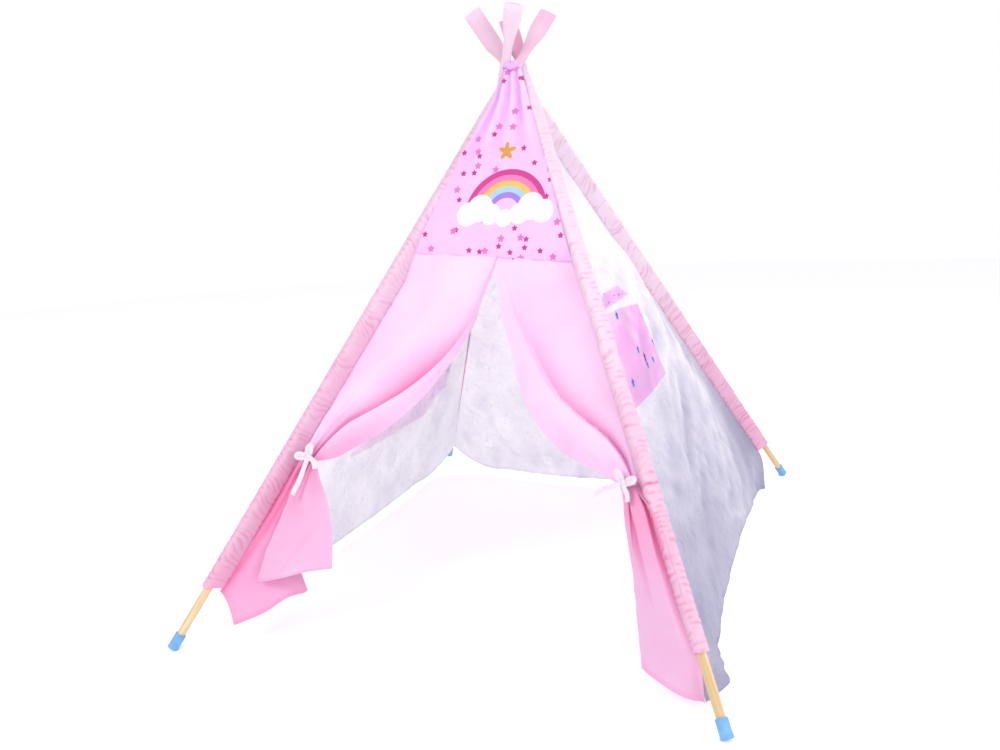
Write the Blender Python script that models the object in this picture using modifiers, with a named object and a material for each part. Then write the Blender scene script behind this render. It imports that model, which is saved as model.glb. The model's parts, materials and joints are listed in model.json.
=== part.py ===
# Kids teepee, in metres, +Z up. The door faces -Y. The origin is on the floor under the crossing.
# Four sectional wooden poles stand in fabric sleeves and cross inside a small collar at the top.
# Each pole with its sleeve swings inwards about a level axis through its own crossing point, and
# the walls, which are made as two halves with a crease between them, gather as the poles close.

import math

import bmesh
import bpy
from mathutils import Matrix, Vector

# Overall sizes: where the four feet stand, and how high the poles cross.
front_half_width = 0.6
side_half_depth = 0.7525
crossing_height = 1.2546
# The gap between two neighbouring sleeves where they pass each other.
crossing_gap = 0.00144845
# How far the poles and the closed tops of their sleeves go beyond the crossing.
pole_top_reach = 0.143
sleeve_top_reach = 0.158

# Pole sections, the tubes that join them and the caps on their feet.
pole_radius = 0.00925
section_gap = 0.0006
ferrule_wall = 0.0016
ferrule_clearance = 0.00035
ferrule_length = 0.062
cap_wall = 0.0026
cap_rim_wall = 0.0032
cap_rim_length = 0.006
cap_length = 0.036
cap_floor = 0.0062
cap_clearance = 0.0003
cap_edge = 0.0018
foot_flat_cut = 0.0045

# Sleeves: flat ovals round the poles, round where the poles cross.
sleeve_wall = 0.001
sleeve_clearance = 0.00036
sleeve_half_width = 0.025
sleeve_top_half_width = 0.0215
sleeve_slack = 0.0003
sleeve_bottom_height = 0.12
round_reach = 0.04
widen_reach = 0.16
thicken_reach = 0.3
top_seam_half = 0.0024
top_seam_length = 0.011

# Walls.
cloth_thickness = 0.0012
touch_gap = 0.0004
edge_gap = 0.0009
hem_height = 0.02
wall_top_drop = 0.0896
side_sag = 0.078
back_sag = 0.235
seam_height = 0.815
seam_drop = 0.026
sag_height_share = 0.72
sag_power = 1.6
column_crowding_power = 1.6

# Collar round the crossing.
collar_top_rise = 0.0134
collar_clearance = 0.0007

# Curtains, tied to the front poles at the waist.
left_tie_height = 0.395
right_tie_height = 0.378
waist_reach = 0.044
waist_inward = 0.026
waist_half_length = 0.0145
waist_half_thickness = 0.0085
curtain_thickness = 0.003
skirt_layer = 0.0042
waist_joint_gap = 0.0005

# Printed patches on the side walls. The walls are faceted, so a patch needs a wider gap.
patch_thickness = 0.001
patch_gap = 0.0009

# Ties.
tie_radius = 0.0028
tie_clearance = 0.0005
knot_radius = 0.0075
bow_loop_length = 0.03
bow_loop_width = 0.0085
bow_radius = 0.0026

# Counts.
pole_sides = 24
ferrule_sides = 20
cap_sides = 24
sleeve_sides = 16
collar_sides = 24
wall_columns = 5
wall_rows = 7
print_rows = 4
collar_rows = 4
patch_rows = 4
curtain_columns = 8
curtain_rows = 8
skirt_columns = 12
skirt_rows = 5

FLOOR_OVERRUN = 0.05
WELD = 0.00001

# Colours, read from the photograph.
PINE = (0.76, 0.53, 0.27)
FERRULE = (0.78, 0.8, 0.82)
CAP_BLUE = (0.14, 0.38, 0.75)
SLEEVE_PINK = (1.0, 0.52, 0.7)
CURTAIN_PINK = (1.0, 0.6, 0.8)
PRINT_PINK = (0.98, 0.56, 0.9)
WALL_WHITE = (0.86, 0.84, 0.9)
PATCH_PINK = (0.98, 0.45, 0.72)
TIE_WHITE = (0.97, 0.9, 0.95)

for old in list(bpy.data.objects):
    bpy.data.objects.remove(old)

scene = bpy.context.scene
part = bpy.data.collections.new("kids_teepee")
scene.collection.children.link(part)
helpers = bpy.data.collections.new("cutters")
scene.collection.children.link(helpers)
helpers.hide_render = True

materials = {}


def material(name, colour, roughness):
    if name not in materials:
        made = bpy.data.materials.new(name)
        made.use_nodes = True
        shader = made.node_tree.nodes["Principled BSDF"]
        shader.inputs["Base Color"].default_value = (*colour, 1)
        shader.inputs["Roughness"].default_value = roughness
        shader.inputs["Metallic"].default_value = 0
        made.diffuse_color = (*colour, 1)
        materials[name] = made
    return materials[name]


def keep(obj, parent=None, at_rest_in_world=False):
    for where in list(obj.users_collection):
        where.objects.unlink(obj)
    part.objects.link(obj)
    if parent:
        obj.parent = parent
        if at_rest_in_world:
            obj.matrix_parent_inverse = parent.matrix_world.inverted()
    return obj


def mesh_object(name, points, faces, finish, parent=None, at_rest_in_world=True):
    mesh = bpy.data.meshes.new(name)
    mesh.from_pydata([tuple(p) for p in points], [], faces)
    mesh.update()
    obj = bpy.data.objects.new(name, mesh)
    obj.data.materials.append(finish)
    keep(obj, parent, at_rest_in_world)
    return obj


def smooth(obj, angle=math.radians(40)):
    obj.data.shade_smooth()
    obj.data.set_sharp_from_angle(angle=angle)


def ease(x):
    x = min(max(x, 0), 1)
    return x * x * (3 - 2 * x)


# Each pole has a frame: Z runs up along the pole, X lies level along the tangent, and the origin
# is the point that its fold axis passes through.
CORNERS = {
    "front_left": (-1, -1),
    "front_right": (1, -1),
    "back_right": (1, 1),
    "back_left": (-1, 1),
}
base_radius = math.hypot(front_half_width, side_half_depth)
wall_top_height = crossing_height - wall_top_drop
collar_top_height = crossing_height + collar_top_rise
round_half = pole_radius + sleeve_clearance + sleeve_wall


def neighbour_spacing(first, second):
    """How far apart two poles' lines pass, for each unit that they keep off the centre line."""
    lines = []
    for sign_x, sign_y in (CORNERS[first], CORNERS[second]):
        foot = Vector((sign_x * front_half_width, sign_y * side_half_depth, 0))
        up = (Vector((0, 0, crossing_height)) - foot).normalized()
        lines.append((Vector((0, 0, 1)).cross(foot.normalized()), up))
    (tangent_a, up_a), (tangent_b, up_b) = lines
    return abs((tangent_a - tangent_b).dot(up_a.cross(up_b).normalized()))


# Each pole passes the centre line at this distance, so that neighbouring sleeves keep their gap.
front_spacing = neighbour_spacing("front_left", "front_right")
side_spacing = neighbour_spacing("front_right", "back_right")
crossing_offset = (2 * round_half + crossing_gap) / min(front_spacing, side_spacing)


class Pole:
    def __init__(self, corner):
        sign_x, sign_y = CORNERS[corner]
        self.foot = Vector((sign_x * front_half_width, sign_y * side_half_depth, 0))
        out = self.foot.normalized()
        self.tangent = Vector((0, 0, 1)).cross(out)
        self.origin = self.tangent * crossing_offset + Vector((0, 0, crossing_height))
        run = self.origin - self.foot
        self.length = run.length
        self.up = run.normalized()
        self.x = (self.tangent - self.up * self.tangent.dot(self.up)).normalized()
        self.y = self.up.cross(self.x)
        rows = Matrix((self.x, self.y, self.up)).transposed().to_4x4()
        self.matrix = Matrix.Translation(self.origin) @ rows
        self.pivot = bpy.data.objects.new(corner + "_pivot", None)
        self.pivot.matrix_world = self.matrix
        self.pivot.empty_display_size = sleeve_half_width
        part.objects.link(self.pivot)

    def at_height(self, height):
        return (height - self.origin.z) / self.up.z

    def point(self, x, y, z):
        return self.matrix @ Vector((x, y, z))


poles = {corner: Pole(corner) for corner in CORNERS}
bpy.context.view_layer.update()
pole_length = poles["front_left"].length
lean = math.acos(poles["front_left"].up.z)

# Radii that follow from what goes inside what.
ferrule_bore = pole_radius + ferrule_clearance
ferrule_radius = ferrule_bore + ferrule_wall
ferrule_half = ferrule_radius + 2 * sleeve_clearance + sleeve_wall
cap_bore = pole_radius + cap_clearance
cap_radius = cap_bore + cap_wall
cap_rim_radius = cap_bore + cap_rim_wall
cap_lift = (cap_rim_radius * math.sin(lean) - foot_flat_cut) / math.cos(lean)
pole_bottom = -pole_length + cap_lift + cap_floor
section_length = (pole_top_reach - pole_bottom - 2 * section_gap) / 3
sleeve_bottom = poles["front_left"].at_height(sleeve_bottom_height)


def sleeve_half_sizes(z):
    """Half width and half thickness of a sleeve at z along its pole, z being 0 at the crossing."""
    reach = abs(z)
    widest = sleeve_half_width if z < 0 else sleeve_top_half_width
    share = (reach - round_reach) / (widen_reach - round_reach)
    wide = round_half + (widest - round_half) * min(max(share, 0), 1)
    share = (reach - widen_reach) / (thicken_reach - widen_reach)
    thick = round_half + (ferrule_half - round_half) * min(max(share, 0), 1) * (z < 0)
    return wide, thick


# The floor cutter trims the caps level.
floor_side = 2 * (base_radius + FLOOR_OVERRUN)
bpy.ops.mesh.primitive_cube_add(size=1)
floor_cutter = bpy.context.active_object
floor_cutter.name = "floor_cutter"
floor_cutter.scale = (floor_side, floor_side, FLOOR_OVERRUN)
floor_cutter.location = (0, 0, -FLOOR_OVERRUN / 2)
for where in list(floor_cutter.users_collection):
    where.objects.unlink(floor_cutter)
helpers.objects.link(floor_cutter)
floor_cutter.hide_render = True
floor_cutter.display_type = "WIRE"


def turned(name, profile, sides, finish, pivot):
    """A profile of (radius, z) points, closed, turned round the pole's axis."""
    points = [(radius, 0, z) for radius, z in profile]
    edges = [(n, (n + 1) % len(points)) for n in range(len(points))]
    if profile[0][0] == 0 and profile[-1][0] == 0:
        edges = edges[:-1]
    mesh = bpy.data.meshes.new(name)
    mesh.from_pydata(points, edges, [])
    obj = bpy.data.objects.new(name, mesh)
    obj.data.materials.append(finish)
    keep(obj, pivot)
    screw = obj.modifiers.new("turn", "SCREW")
    screw.axis = "Z"
    screw.steps = sides
    screw.render_steps = sides
    screw.use_merge_vertices = True
    screw.merge_threshold = WELD
    screw.use_smooth_shade = False
    screw.use_normal_flip = True
    return obj


def pole_section(name, bottom, top, pivot):
    bpy.ops.mesh.primitive_cylinder_add(
        vertices=pole_sides, radius=pole_radius, depth=top - bottom
    )
    obj = bpy.context.active_object
    obj.name = name
    obj.data.name = name
    obj.data.materials.append(material("pole_pine", PINE, 0.55))
    keep(obj, pivot)
    obj.location = (0, 0, (top + bottom) / 2)
    smooth(obj)
    return obj


def ferrule(name, middle, pivot):
    low = middle - ferrule_length / 2
    high = middle + ferrule_length / 2
    profile = [
        (ferrule_bore, low),
        (ferrule_radius, low),
        (ferrule_radius, high),
        (ferrule_bore, high),
    ]
    finish = material("ferrule_plastic", FERRULE, 0.35)
    return turned(name, profile, ferrule_sides, finish, pivot)


def foot_cap(name, pivot):
    low = -pole_length + cap_lift
    profile = [
        (0, low),
        (cap_rim_radius - cap_edge, low),
        (cap_rim_radius, low + cap_edge),
        (cap_rim_radius, low + cap_rim_length),
        (cap_radius, low + cap_rim_length + cap_edge),
        (cap_radius, low + cap_length),
        (cap_bore, low + cap_length),
        (cap_bore, low + cap_floor - section_gap),
        (0, low + cap_floor - section_gap),
    ]
    obj = turned(name, profile, cap_sides, material("cap_blue", CAP_BLUE, 0.4), pivot)
    cut = obj.modifiers.new("level", "BOOLEAN")
    cut.operation = "DIFFERENCE"
    cut.solver = "EXACT"
    cut.object = floor_cutter
    return obj


def loft(rings, closed_low=True, closed_high=True):
    """Points and faces of a skin over rings that have the same number of points."""
    count = len(rings[0])
    points = [p for ring in rings for p in ring]
    faces = []
    for k in range(len(rings) - 1):
        for n in range(count):
            m = (n + 1) % count
            faces.append((k * count + n, k * count + m, (k + 1) * count + m, (k + 1) * count + n))
    if closed_low:
        faces.append(tuple(reversed(range(count))))
    if closed_high:
        faces.append(tuple(range((len(rings) - 1) * count, len(rings) * count)))
    return points, faces


def oval(half_width, half_thickness, z):
    ring = []
    for n in range(sleeve_sides):
        turn = 2 * math.pi * n / sleeve_sides
        ring.append((half_width * math.cos(turn), half_thickness * math.sin(turn), z))
    return ring


def sleeve_stations():
    stops = [sleeve_bottom, (sleeve_bottom - thicken_reach) / 2, -thicken_reach, -widen_reach]
    stops += [-round_reach, round_reach, sleeve_top_reach - top_seam_length]
    return stops


def sleeve(name, pivot):
    """A closed tube of cloth with the pole inside, open at the foot and sewn shut at the top."""
    outer = [oval(*sleeve_half_sizes(z), z) for z in sleeve_stations()]
    wide, _ = sleeve_half_sizes(sleeve_top_reach)
    outer.append(oval(wide, top_seam_half, sleeve_top_reach))
    inner = []
    for z in sleeve_stations()[:-1]:
        wide, thick = sleeve_half_sizes(z)
        inner.append(oval(wide - sleeve_wall, thick - sleeve_wall, z))
    end = pole_top_reach + sleeve_slack
    wide, thick = sleeve_half_sizes(end)
    inner.append(oval(wide - sleeve_wall, thick - sleeve_wall, end))
    rings = list(reversed(inner)) + outer
    points, faces = loft(rings)
    finish = material("sleeve_cloth", SLEEVE_PINK, 0.85)
    obj = mesh_object(name, points, faces, finish, pivot, False)
    return obj


for corner, pole in poles.items():
    first = pole_bottom
    joints = []
    for place in ("lower", "middle", "upper"):
        last = first + section_length
        pole_section(corner + "_pole_" + place, first, last, pole.pivot)
        joints.append(last + section_gap / 2)
        first = last + section_gap
    ferrule(corner + "_ferrule_lower", joints[0], pole.pivot)
    ferrule(corner + "_ferrule_upper", joints[1], pole.pivot)
    foot_cap(corner + "_foot_cap", pole.pivot)
    sleeve(corner + "_sleeve", pole.pivot)


# Walls. A wall point is given by its height, its share of the way from the first pole to the
# second, and how far it stands off the cloth's middle layer, outwards.
WALLS = {
    "front": ("front_left", "front_right", 0),
    "right": ("front_right", "back_right", side_sag),
    "back": ("back_right", "back_left", back_sag),
    "left": ("back_left", "front_left", side_sag),
}
SAG_WIDTH_POWER = {"front": 1, "right": 0.55, "back": 0.6, "left": 0.55}


def wall_edge(pole, side, height):
    """Where a wall meets a sleeve: just off the sleeve's narrow end, on one side of the pole."""
    z = pole.at_height(height)
    wide, _ = sleeve_half_sizes(z)
    if z < -thicken_reach:
        wide = sleeve_half_width
    return pole.point(side * (wide + edge_gap), 0, z)


def wall_out(wall):
    first, second, _ = WALLS[wall]
    along = poles[second].foot - poles[first].foot
    return along.cross(Vector((0, 0, 1))).normalized()


def wall_point(wall, share, height, off=0):
    first, second, sag = WALLS[wall]
    start = wall_edge(poles[first], 1, height)
    end = wall_edge(poles[second], -1, height)
    out = wall_out(wall)
    rise = max(0, 1 - height / (crossing_height * sag_height_share)) ** sag_power
    across = max(0, 4 * share * (1 - share)) ** SAG_WIDTH_POWER[wall]
    normal = (end - start).cross(poles[first].up).normalized()
    if normal.dot(out) < 0:
        normal = -normal
    return start.lerp(end, share) - out * (sag * rise * across) + normal * off


def wall_width(wall, height):
    first, second, _ = WALLS[wall]
    return (wall_edge(poles[second], -1, height) - wall_edge(poles[first], 1, height)).length


def sheet(name, grid, thickness, finish, parent):
    """A grid of points made into cloth of an even thickness, half on each side of the grid."""
    rows = len(grid)
    columns = len(grid[0])
    points = [p for row in grid for p in row]
    faces = []
    for r in range(rows - 1):
        for c in range(columns - 1):
            n = r * columns + c
            faces.append((n, n + 1, n + columns + 1, n + columns))
    obj = mesh_object(name, points, faces, finish, parent)
    solid = obj.modifiers.new("thickness", "SOLIDIFY")
    solid.thickness = thickness
    solid.offset = 0
    solid.use_even_offset = False
    return obj


def wall_heights(low, high, count):
    return [low + (high - low) * n / count for n in range(count + 1)]


def half_wall(name, wall, half, heights_of, finish, parent):
    """One half of a wall, from a pole to the crease in the middle. Its columns stand closer
    together near the pole, where a sagging wall turns fastest."""
    rows = len(heights_of(0))
    crowding = 1 if WALLS[wall][2] == 0 else column_crowding_power
    grid = []
    for r in range(rows):
        row = []
        for n in range(wall_columns + 1):
            share = (n / wall_columns) ** crowding / 2
            height = heights_of(share if half == 0 else 1 - share)[r]
            margin = touch_gap / 2 / wall_width(wall, height)
            share = min(share, 0.5 - margin)
            if half == 1:
                share = 1 - share
            row.append(wall_point(wall, share, height))
        grid.append(row)
    return sheet(name, grid, cloth_thickness, finish, parent)


widen_height = poles["front_left"].point(0, 0, -widen_reach).z
thicken_height = poles["front_left"].point(0, 0, -thicken_reach).z


def full_heights(_):
    return wall_heights(hem_height, thicken_height, wall_rows) + [widen_height, wall_top_height]


def seam_at(share):
    """The height of the seam under the print, at a share of the way across the front."""
    return seam_height + seam_drop * (0.5 - share)


def print_heights(share):
    return wall_heights(seam_at(share), widen_height, print_rows) + [wall_top_height]


white = material("wall_cloth", WALL_WHITE, 0.8)
printed = material("print_cloth", PRINT_PINK, 0.8)
HALVES = (
    ("front_print_left", "front", 0, print_heights, printed, "front_left"),
    ("front_print_right", "front", 1, print_heights, printed, "front_right"),
    ("right_wall_front", "right", 0, full_heights, white, "front_right"),
    ("right_wall_back", "right", 1, full_heights, white, "back_right"),
    ("back_wall_right", "back", 0, full_heights, white, "back_right"),
    ("back_wall_left", "back", 1, full_heights, white, "back_left"),
    ("left_wall_back", "left", 0, full_heights, white, "back_left"),
    ("left_wall_front", "left", 1, full_heights, white, "front_left"),
)
for name, wall, half, heights, finish, corner in HALVES:
    half_wall(name, wall, half, heights, finish, poles[corner].pivot)


# Collar: a band of cloth that closes the cover round the crossing, just outside the sleeves.
slice_steps = 12


def sleeve_slice(height):
    """Points where the four sleeves' outsides pass a height."""
    found = []
    for pole in poles.values():
        z_of = pole.at_height(height)
        spread = sleeve_half_width * math.tan(lean)
        steps = [z_of + spread * (2 * k / slice_steps - 1) for k in range(slice_steps + 1)]
        rings = []
        for z in steps:
            wide, thick = sleeve_half_sizes(z)
            rings.append([pole.point(*p) for p in oval(wide, thick, z)])
        for lower, upper in zip(rings, rings[1:]):
            for a, b in zip(lower, upper):
                if (a.z - height) * (b.z - height) <= 0 and a.z != b.z:
                    found.append(a.lerp(b, (height - a.z) / (b.z - a.z)))
    return found


def collar_ring(height):
    """A ring round the sleeves at a height: the support lines in equal steps of direction."""
    found = sleeve_slice(height)
    supports = []
    for n in range(collar_sides):
        turn = 2 * math.pi * (n + 0.5) / collar_sides
        way = Vector((math.cos(turn), math.sin(turn), 0))
        reach = max(p.dot(way) for p in found)
        supports.append((turn, reach + collar_clearance + cloth_thickness / 2))
    ring = []
    step = 2 * math.pi / collar_sides
    for n in range(collar_sides):
        a = supports[n - 1][1]
        turn_b, b = supports[n]
        turn_a = turn_b - step
        across = (b - a * math.cos(step)) / math.sin(step)
        x = a * math.cos(turn_a) - across * math.sin(turn_a)
        y = a * math.sin(turn_a) + across * math.cos(turn_a)
        ring.append(Vector((x, y, height)))
    return ring


collar_heights = wall_heights(wall_top_height + touch_gap, collar_top_height, collar_rows)
collar_rings = [collar_ring(height) for height in collar_heights]
collar_points, collar_faces = loft(collar_rings, False, False)
collar = mesh_object("collar", collar_points, collar_faces, material("collar_cloth", PRINT_PINK, 0.8))
collar_solid = collar.modifiers.new("thickness", "SOLIDIFY")
collar_solid.thickness = cloth_thickness
collar_solid.offset = 0
collar_solid.use_even_offset = False


# Curtains and what hangs below their ties. A front pole's inner side is +X on the left pole and -X on
# the right pole.
SIDES = {"left": ("front_left", 1, left_tie_height), "right": ("front_right", -1, right_tie_height)}
# Free edges of the curtains, from the seam to the tie: shares of the way across the front at the
# height, and heights as shares of the way from the seam down to the tie.
LEFT_EDGE_SHARES = (
    (0.522, 0.0), (0.505, 0.14), (0.5, 0.27), (0.485, 0.36), (0.39, 0.54), (0.31, 0.65),
    (0.215, 0.75), (0.115, 0.87), (0.08, 1.0),
)
RIGHT_EDGE_SHARES = (
    (0.538, 0.0), (0.555, 0.1), (0.6, 0.28), (0.64, 0.44), (0.675, 0.58), (0.71, 0.7),
    (0.775, 0.83), (0.85, 0.91), (0.92, 1.0),
)
EDGES = {"left": LEFT_EDGE_SHARES, "right": RIGHT_EDGE_SHARES}
# The straight neck above and below each tie's loop.
neck_length = tie_radius + 3 * tie_clearance
# The free edge curls inwards along the upper part of a curtain, and the cloth bellies and folds.
curl_depth = 0.04
curl_drop = 0.03
curl_across_share = 0.7
curl_down_shares = (0.35, 0.7)
belly_depth = 0.012
fold_depth = 0.005
fold_count = 2.5
# The cloth gathers towards the tie from this share of the way down, and grows thicker by layers.
gather_share = 0.55
gathered_layers = 4
gather_power = 4


def waist_centre(side):
    corner, sign, height = SIDES[side]
    z = poles[corner].at_height(height)
    return Vector((sign * waist_reach, waist_inward, z))


def waist_ring(side, z, count, half_length, half_thickness, flip=1):
    """A closed oval ring at the tie, in the pole's frame, that starts next to the sleeve."""
    corner, sign, _ = SIDES[side]
    centre = waist_centre(side)
    way = Vector((centre.x, centre.y, 0)).normalized()
    over = Vector((-way.y, way.x, 0)) * sign
    ring = []
    for n in range(count):
        turn = math.pi + 2 * math.pi * (n + 0.5) / count * flip
        spot = way * (half_length * math.cos(turn)) + over * (half_thickness * math.sin(turn))
        spot = spot + Vector((centre.x, centre.y, z))
        ring.append(poles[corner].point(*spot))
    return ring


def along_points(table, share):
    """The table's place at a share of its length, joined by straight lines."""
    lengths = [0]
    for a, b in zip(table, table[1:]):
        lengths.append(lengths[-1] + (Vector(b) - Vector(a)).length)
    want = share * lengths[-1]
    for k in range(len(table) - 1):
        if want <= lengths[k + 1] or k == len(table) - 2:
            part_share = (want - lengths[k]) / (lengths[k + 1] - lengths[k])
            return Vector(table[k]).lerp(Vector(table[k + 1]), min(part_share, 1))


def curtain_edge(side, share):
    _, _, tie_height = SIDES[side]
    across, down = along_points([(a, d) for a, d in EDGES[side]], share)
    top = seam_at(across) - touch_gap - cloth_thickness
    height = top + (tie_height - top) * down
    return across, height


def curtain_grid(side):
    """Rings of the curtain from its seam down to the tie. Each goes out along the front face and
    back along the inner one."""
    _, sign, tie_height = SIDES[side]
    out = wall_out("front")
    flip = 1 if sign > 0 else -1
    rings = []
    for r in range(curtain_rows + 1):
        v = r / curtain_rows
        edge_across, edge_height = curtain_edge(side, v)
        sleeve_height = seam_at(0 if side == "left" else 1) - touch_gap - cloth_thickness
        sleeve_height += (tie_height - sleeve_height) * v
        thick = curtain_thickness * (1 + (gathered_layers - 1) * v**gather_power)
        curl_start, curl_end = curl_down_shares
        curl_down = ease(v / curl_start) * (1 - ease((v - curl_end) / (1 - curl_end)))
        centre = []
        for c in range(curtain_columns + 1):
            u = c / curtain_columns
            across = edge_across * u if side == "left" else 1 - (1 - edge_across) * u
            height = sleeve_height + (edge_height - sleeve_height) * u
            height = height if r else seam_at(across) - touch_gap - cloth_thickness
            spot = wall_point("front", across, height)
            curl = ease((u - curl_across_share) / (1 - curl_across_share)) * curl_down
            belly = math.sin(math.pi * u) * math.sin(math.pi * v)
            fold = math.sin(2 * math.pi * fold_count * u) * math.sin(math.pi * v) ** 2
            shift = out * (belly_depth * belly + fold_depth * fold - curl_depth * curl)
            centre.append(spot + shift - Vector((0, 0, curl_drop * curl * (side == "left"))))
        front = [p + out * thick / 2 for p in centre]
        back = [p - out * thick / 2 for p in reversed(centre)]
        ring = front + back
        if sign < 0:
            ring = list(reversed(back)) + list(reversed(front))
        pull = ease((v - gather_share) / (1 - gather_share))
        z = waist_centre(side).z + neck_length + (1 - v) * pole_radius
        goal = waist_ring(side, z, len(ring), waist_half_length, waist_half_thickness, flip)
        ring = [p.lerp(q, pull) for p, q in zip(ring, goal)]
        rings.append(ring)
    z = waist_centre(side).z + waist_joint_gap / 2
    rings.append(waist_ring(side, z, len(ring), waist_half_length, waist_half_thickness, flip))
    return rings


def facing_out(points, faces):
    """The same faces, turned over if the solid they close is inside out."""
    volume = 0
    for face in faces:
        a = Vector(points[face[0]])
        for n in range(1, len(face) - 1):
            volume += a.dot(Vector(points[face[n]]).cross(Vector(points[face[n + 1]])))
    return [tuple(reversed(face)) for face in faces] if volume < 0 else faces


curtain_finish = material("curtain_cloth", CURTAIN_PINK, 0.85)
for side, (corner, _, _) in SIDES.items():
    points, faces = loft(curtain_grid(side))
    faces = facing_out(points, faces)
    mesh_object(side + "_curtain", points, faces, curtain_finish, poles[corner].pivot)

# Hems of the skirts in plan: places as shares of the way across and along the floor plan, with the
# height of the hem at each, as shares of the tie's height. The left one turns back on itself.
LEFT_HEM_SHARES = (
    (-0.785, -0.925, 0.12), (-0.7, -0.85, 0.17), (-0.575, -0.765, 0.24), (-0.62, -0.8, 0.29),
    (-0.745, -0.86, 0.3), (-0.6, -0.855, 0.34), (-0.43, -0.815, 0.4),
)
RIGHT_HEM_SHARES = (
    (0.905, -0.918, 0.1), (0.872, -0.883, 0.095), (0.842, -0.895, 0.09), (0.8, -0.842, 0.09),
    (0.762, -0.852, 0.09), (0.725, -0.797, 0.085), (0.69, -0.8, 0.085),
)
HEMS = {"left": LEFT_HEM_SHARES, "right": RIGHT_HEM_SHARES}
# The skirt is gathered down to this share of its drop, and its spread follows this power.
skirt_gather_share = 0.35
skirt_spread_power = 0.8


def eased_path(points, count):
    """Evenly shared places on a smooth curve through the points."""
    made = []
    last = len(points) - 1
    for n in range(count + 1):
        s = n / count * last
        k = min(int(s), last - 1)
        f = s - k
        p0 = points[max(k - 1, 0)]
        p1 = points[k]
        p2 = points[k + 1]
        p3 = points[min(k + 2, last)]
        m1 = (p2 - p0) / 2
        m2 = (p3 - p1) / 2
        h1 = 2 * f**3 - 3 * f**2 + 1
        h2 = -2 * f**3 + 3 * f**2
        h3 = f**3 - 2 * f**2 + f
        h4 = f**3 - f**2
        made.append(p1 * h1 + p2 * h2 + m1 * h3 + m2 * h4)
    return made


def skirt_rings(side):
    """Rings of the skirt from the tie down to its hem."""
    corner, sign, tie_height = SIDES[side]
    hem = []
    for x_share, y_share, z_share in HEMS[side]:
        place = (x_share * front_half_width, y_share * side_half_depth, z_share * tie_height)
        hem.append(Vector(place))
    hem = eased_path(hem, skirt_columns)
    centre = waist_centre(side)
    way = Vector((centre.x, centre.y, 0)).normalized()
    start = poles[corner].point(*(centre - way * waist_half_length))
    end = poles[corner].point(*(centre + way * waist_half_length))
    count = 2 * (skirt_columns + 1)
    z = centre.z - waist_joint_gap / 2
    rings = [waist_ring(side, z, count, waist_half_length, waist_half_thickness)]
    for r in range(skirt_rows + 1):
        v = r / skirt_rows
        line = []
        for c in range(skirt_columns + 1):
            u = c / skirt_columns
            top = start.lerp(end, u)
            flat = top.lerp(hem[c], v**skirt_spread_power)
            flat.z = top.z + (hem[c].z - top.z) * v
            line.append(flat)
        normals = []
        for c in range(skirt_columns + 1):
            tangent = line[min(c + 1, skirt_columns)] - line[max(c - 1, 0)]
            normal = Vector((0, 0, 1)).cross(tangent)
            normals.append(normal.normalized())
        one = [p - n * skirt_layer / 2 for p, n in zip(line, normals)]
        two = [p + n * skirt_layer / 2 for p, n in zip(line, normals)]
        ring = one + list(reversed(two))
        if sign < 0:
            ring = two + list(reversed(one))
        pull = 1 - ease(v / skirt_gather_share)
        z = centre.z - neck_length - v * pole_radius
        goal = waist_ring(side, z, count, waist_half_length, waist_half_thickness)
        ring = [p.lerp(q, pull) for p, q in zip(ring, goal)]
        rings.append(ring)
    return rings


for side, (corner, _, _) in SIDES.items():
    points, faces = loft(skirt_rings(side))
    faces = facing_out(points, faces)
    pivot = bpy.data.objects.new(side + "_skirt_pivot", None)
    pivot.matrix_world = poles[corner].matrix @ Matrix.Translation((0, 0, waist_centre(side).z))
    pivot.empty_display_size = sleeve_half_width
    part.objects.link(pivot)
    bpy.context.view_layer.update()
    mesh_object(side + "_skirt", points, faces, curtain_finish, pivot)


# Printed patches, sewn on the outside of the side walls.
# Each row is (name, wall, shares across at the lower corners, shares across at the upper corners,
# lower and upper height as shares of the crossing height, columns, pole).
PATCH_SHARES = (
    ("right_patch", "right", (0.095, 0.465), (0.12, 0.485), (0.396, 0.524), 5, "front_right"),
    ("right_patch_flap", "right", (0.14, 0.44), (0.15, 0.4), (0.5475, 0.573), 4, "front_right"),
    ("left_patch_back", "left", (0.14, 0.5), (0.12, 0.5), (0.225, 0.4), 5, "back_left"),
    ("left_patch_front", "left", (0.5, 0.655), (0.5, 0.68), (0.225, 0.4), 3, "front_left"),
)
patch_finish = material("patch_cloth", PATCH_PINK, 0.8)
narrow_patch_share = 0.05
for name, wall, low_shares, high_shares, height_shares, columns, corner in PATCH_SHARES:
    grid = []
    rows = patch_rows if height_shares[1] - height_shares[0] > narrow_patch_share else 1
    for r in range(rows + 1):
        v = r / rows
        height = crossing_height * (height_shares[0] + (height_shares[1] - height_shares[0]) * v)
        first = low_shares[0] + (high_shares[0] - low_shares[0]) * v
        last = low_shares[1] + (high_shares[1] - low_shares[1]) * v
        margin = touch_gap / 2 / wall_width(wall, height)
        first += margin * (first == 0.5)
        last -= margin * (last == 0.5)
        row = []
        for c in range(columns + 1):
            share = first + (last - first) * c / columns
            off = cloth_thickness / 2 + patch_gap + patch_thickness / 2
            row.append(wall_point(wall, share, height, off))
        grid.append(row)
    sheet(name, grid, patch_thickness, patch_finish, poles[corner].pivot)


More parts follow.
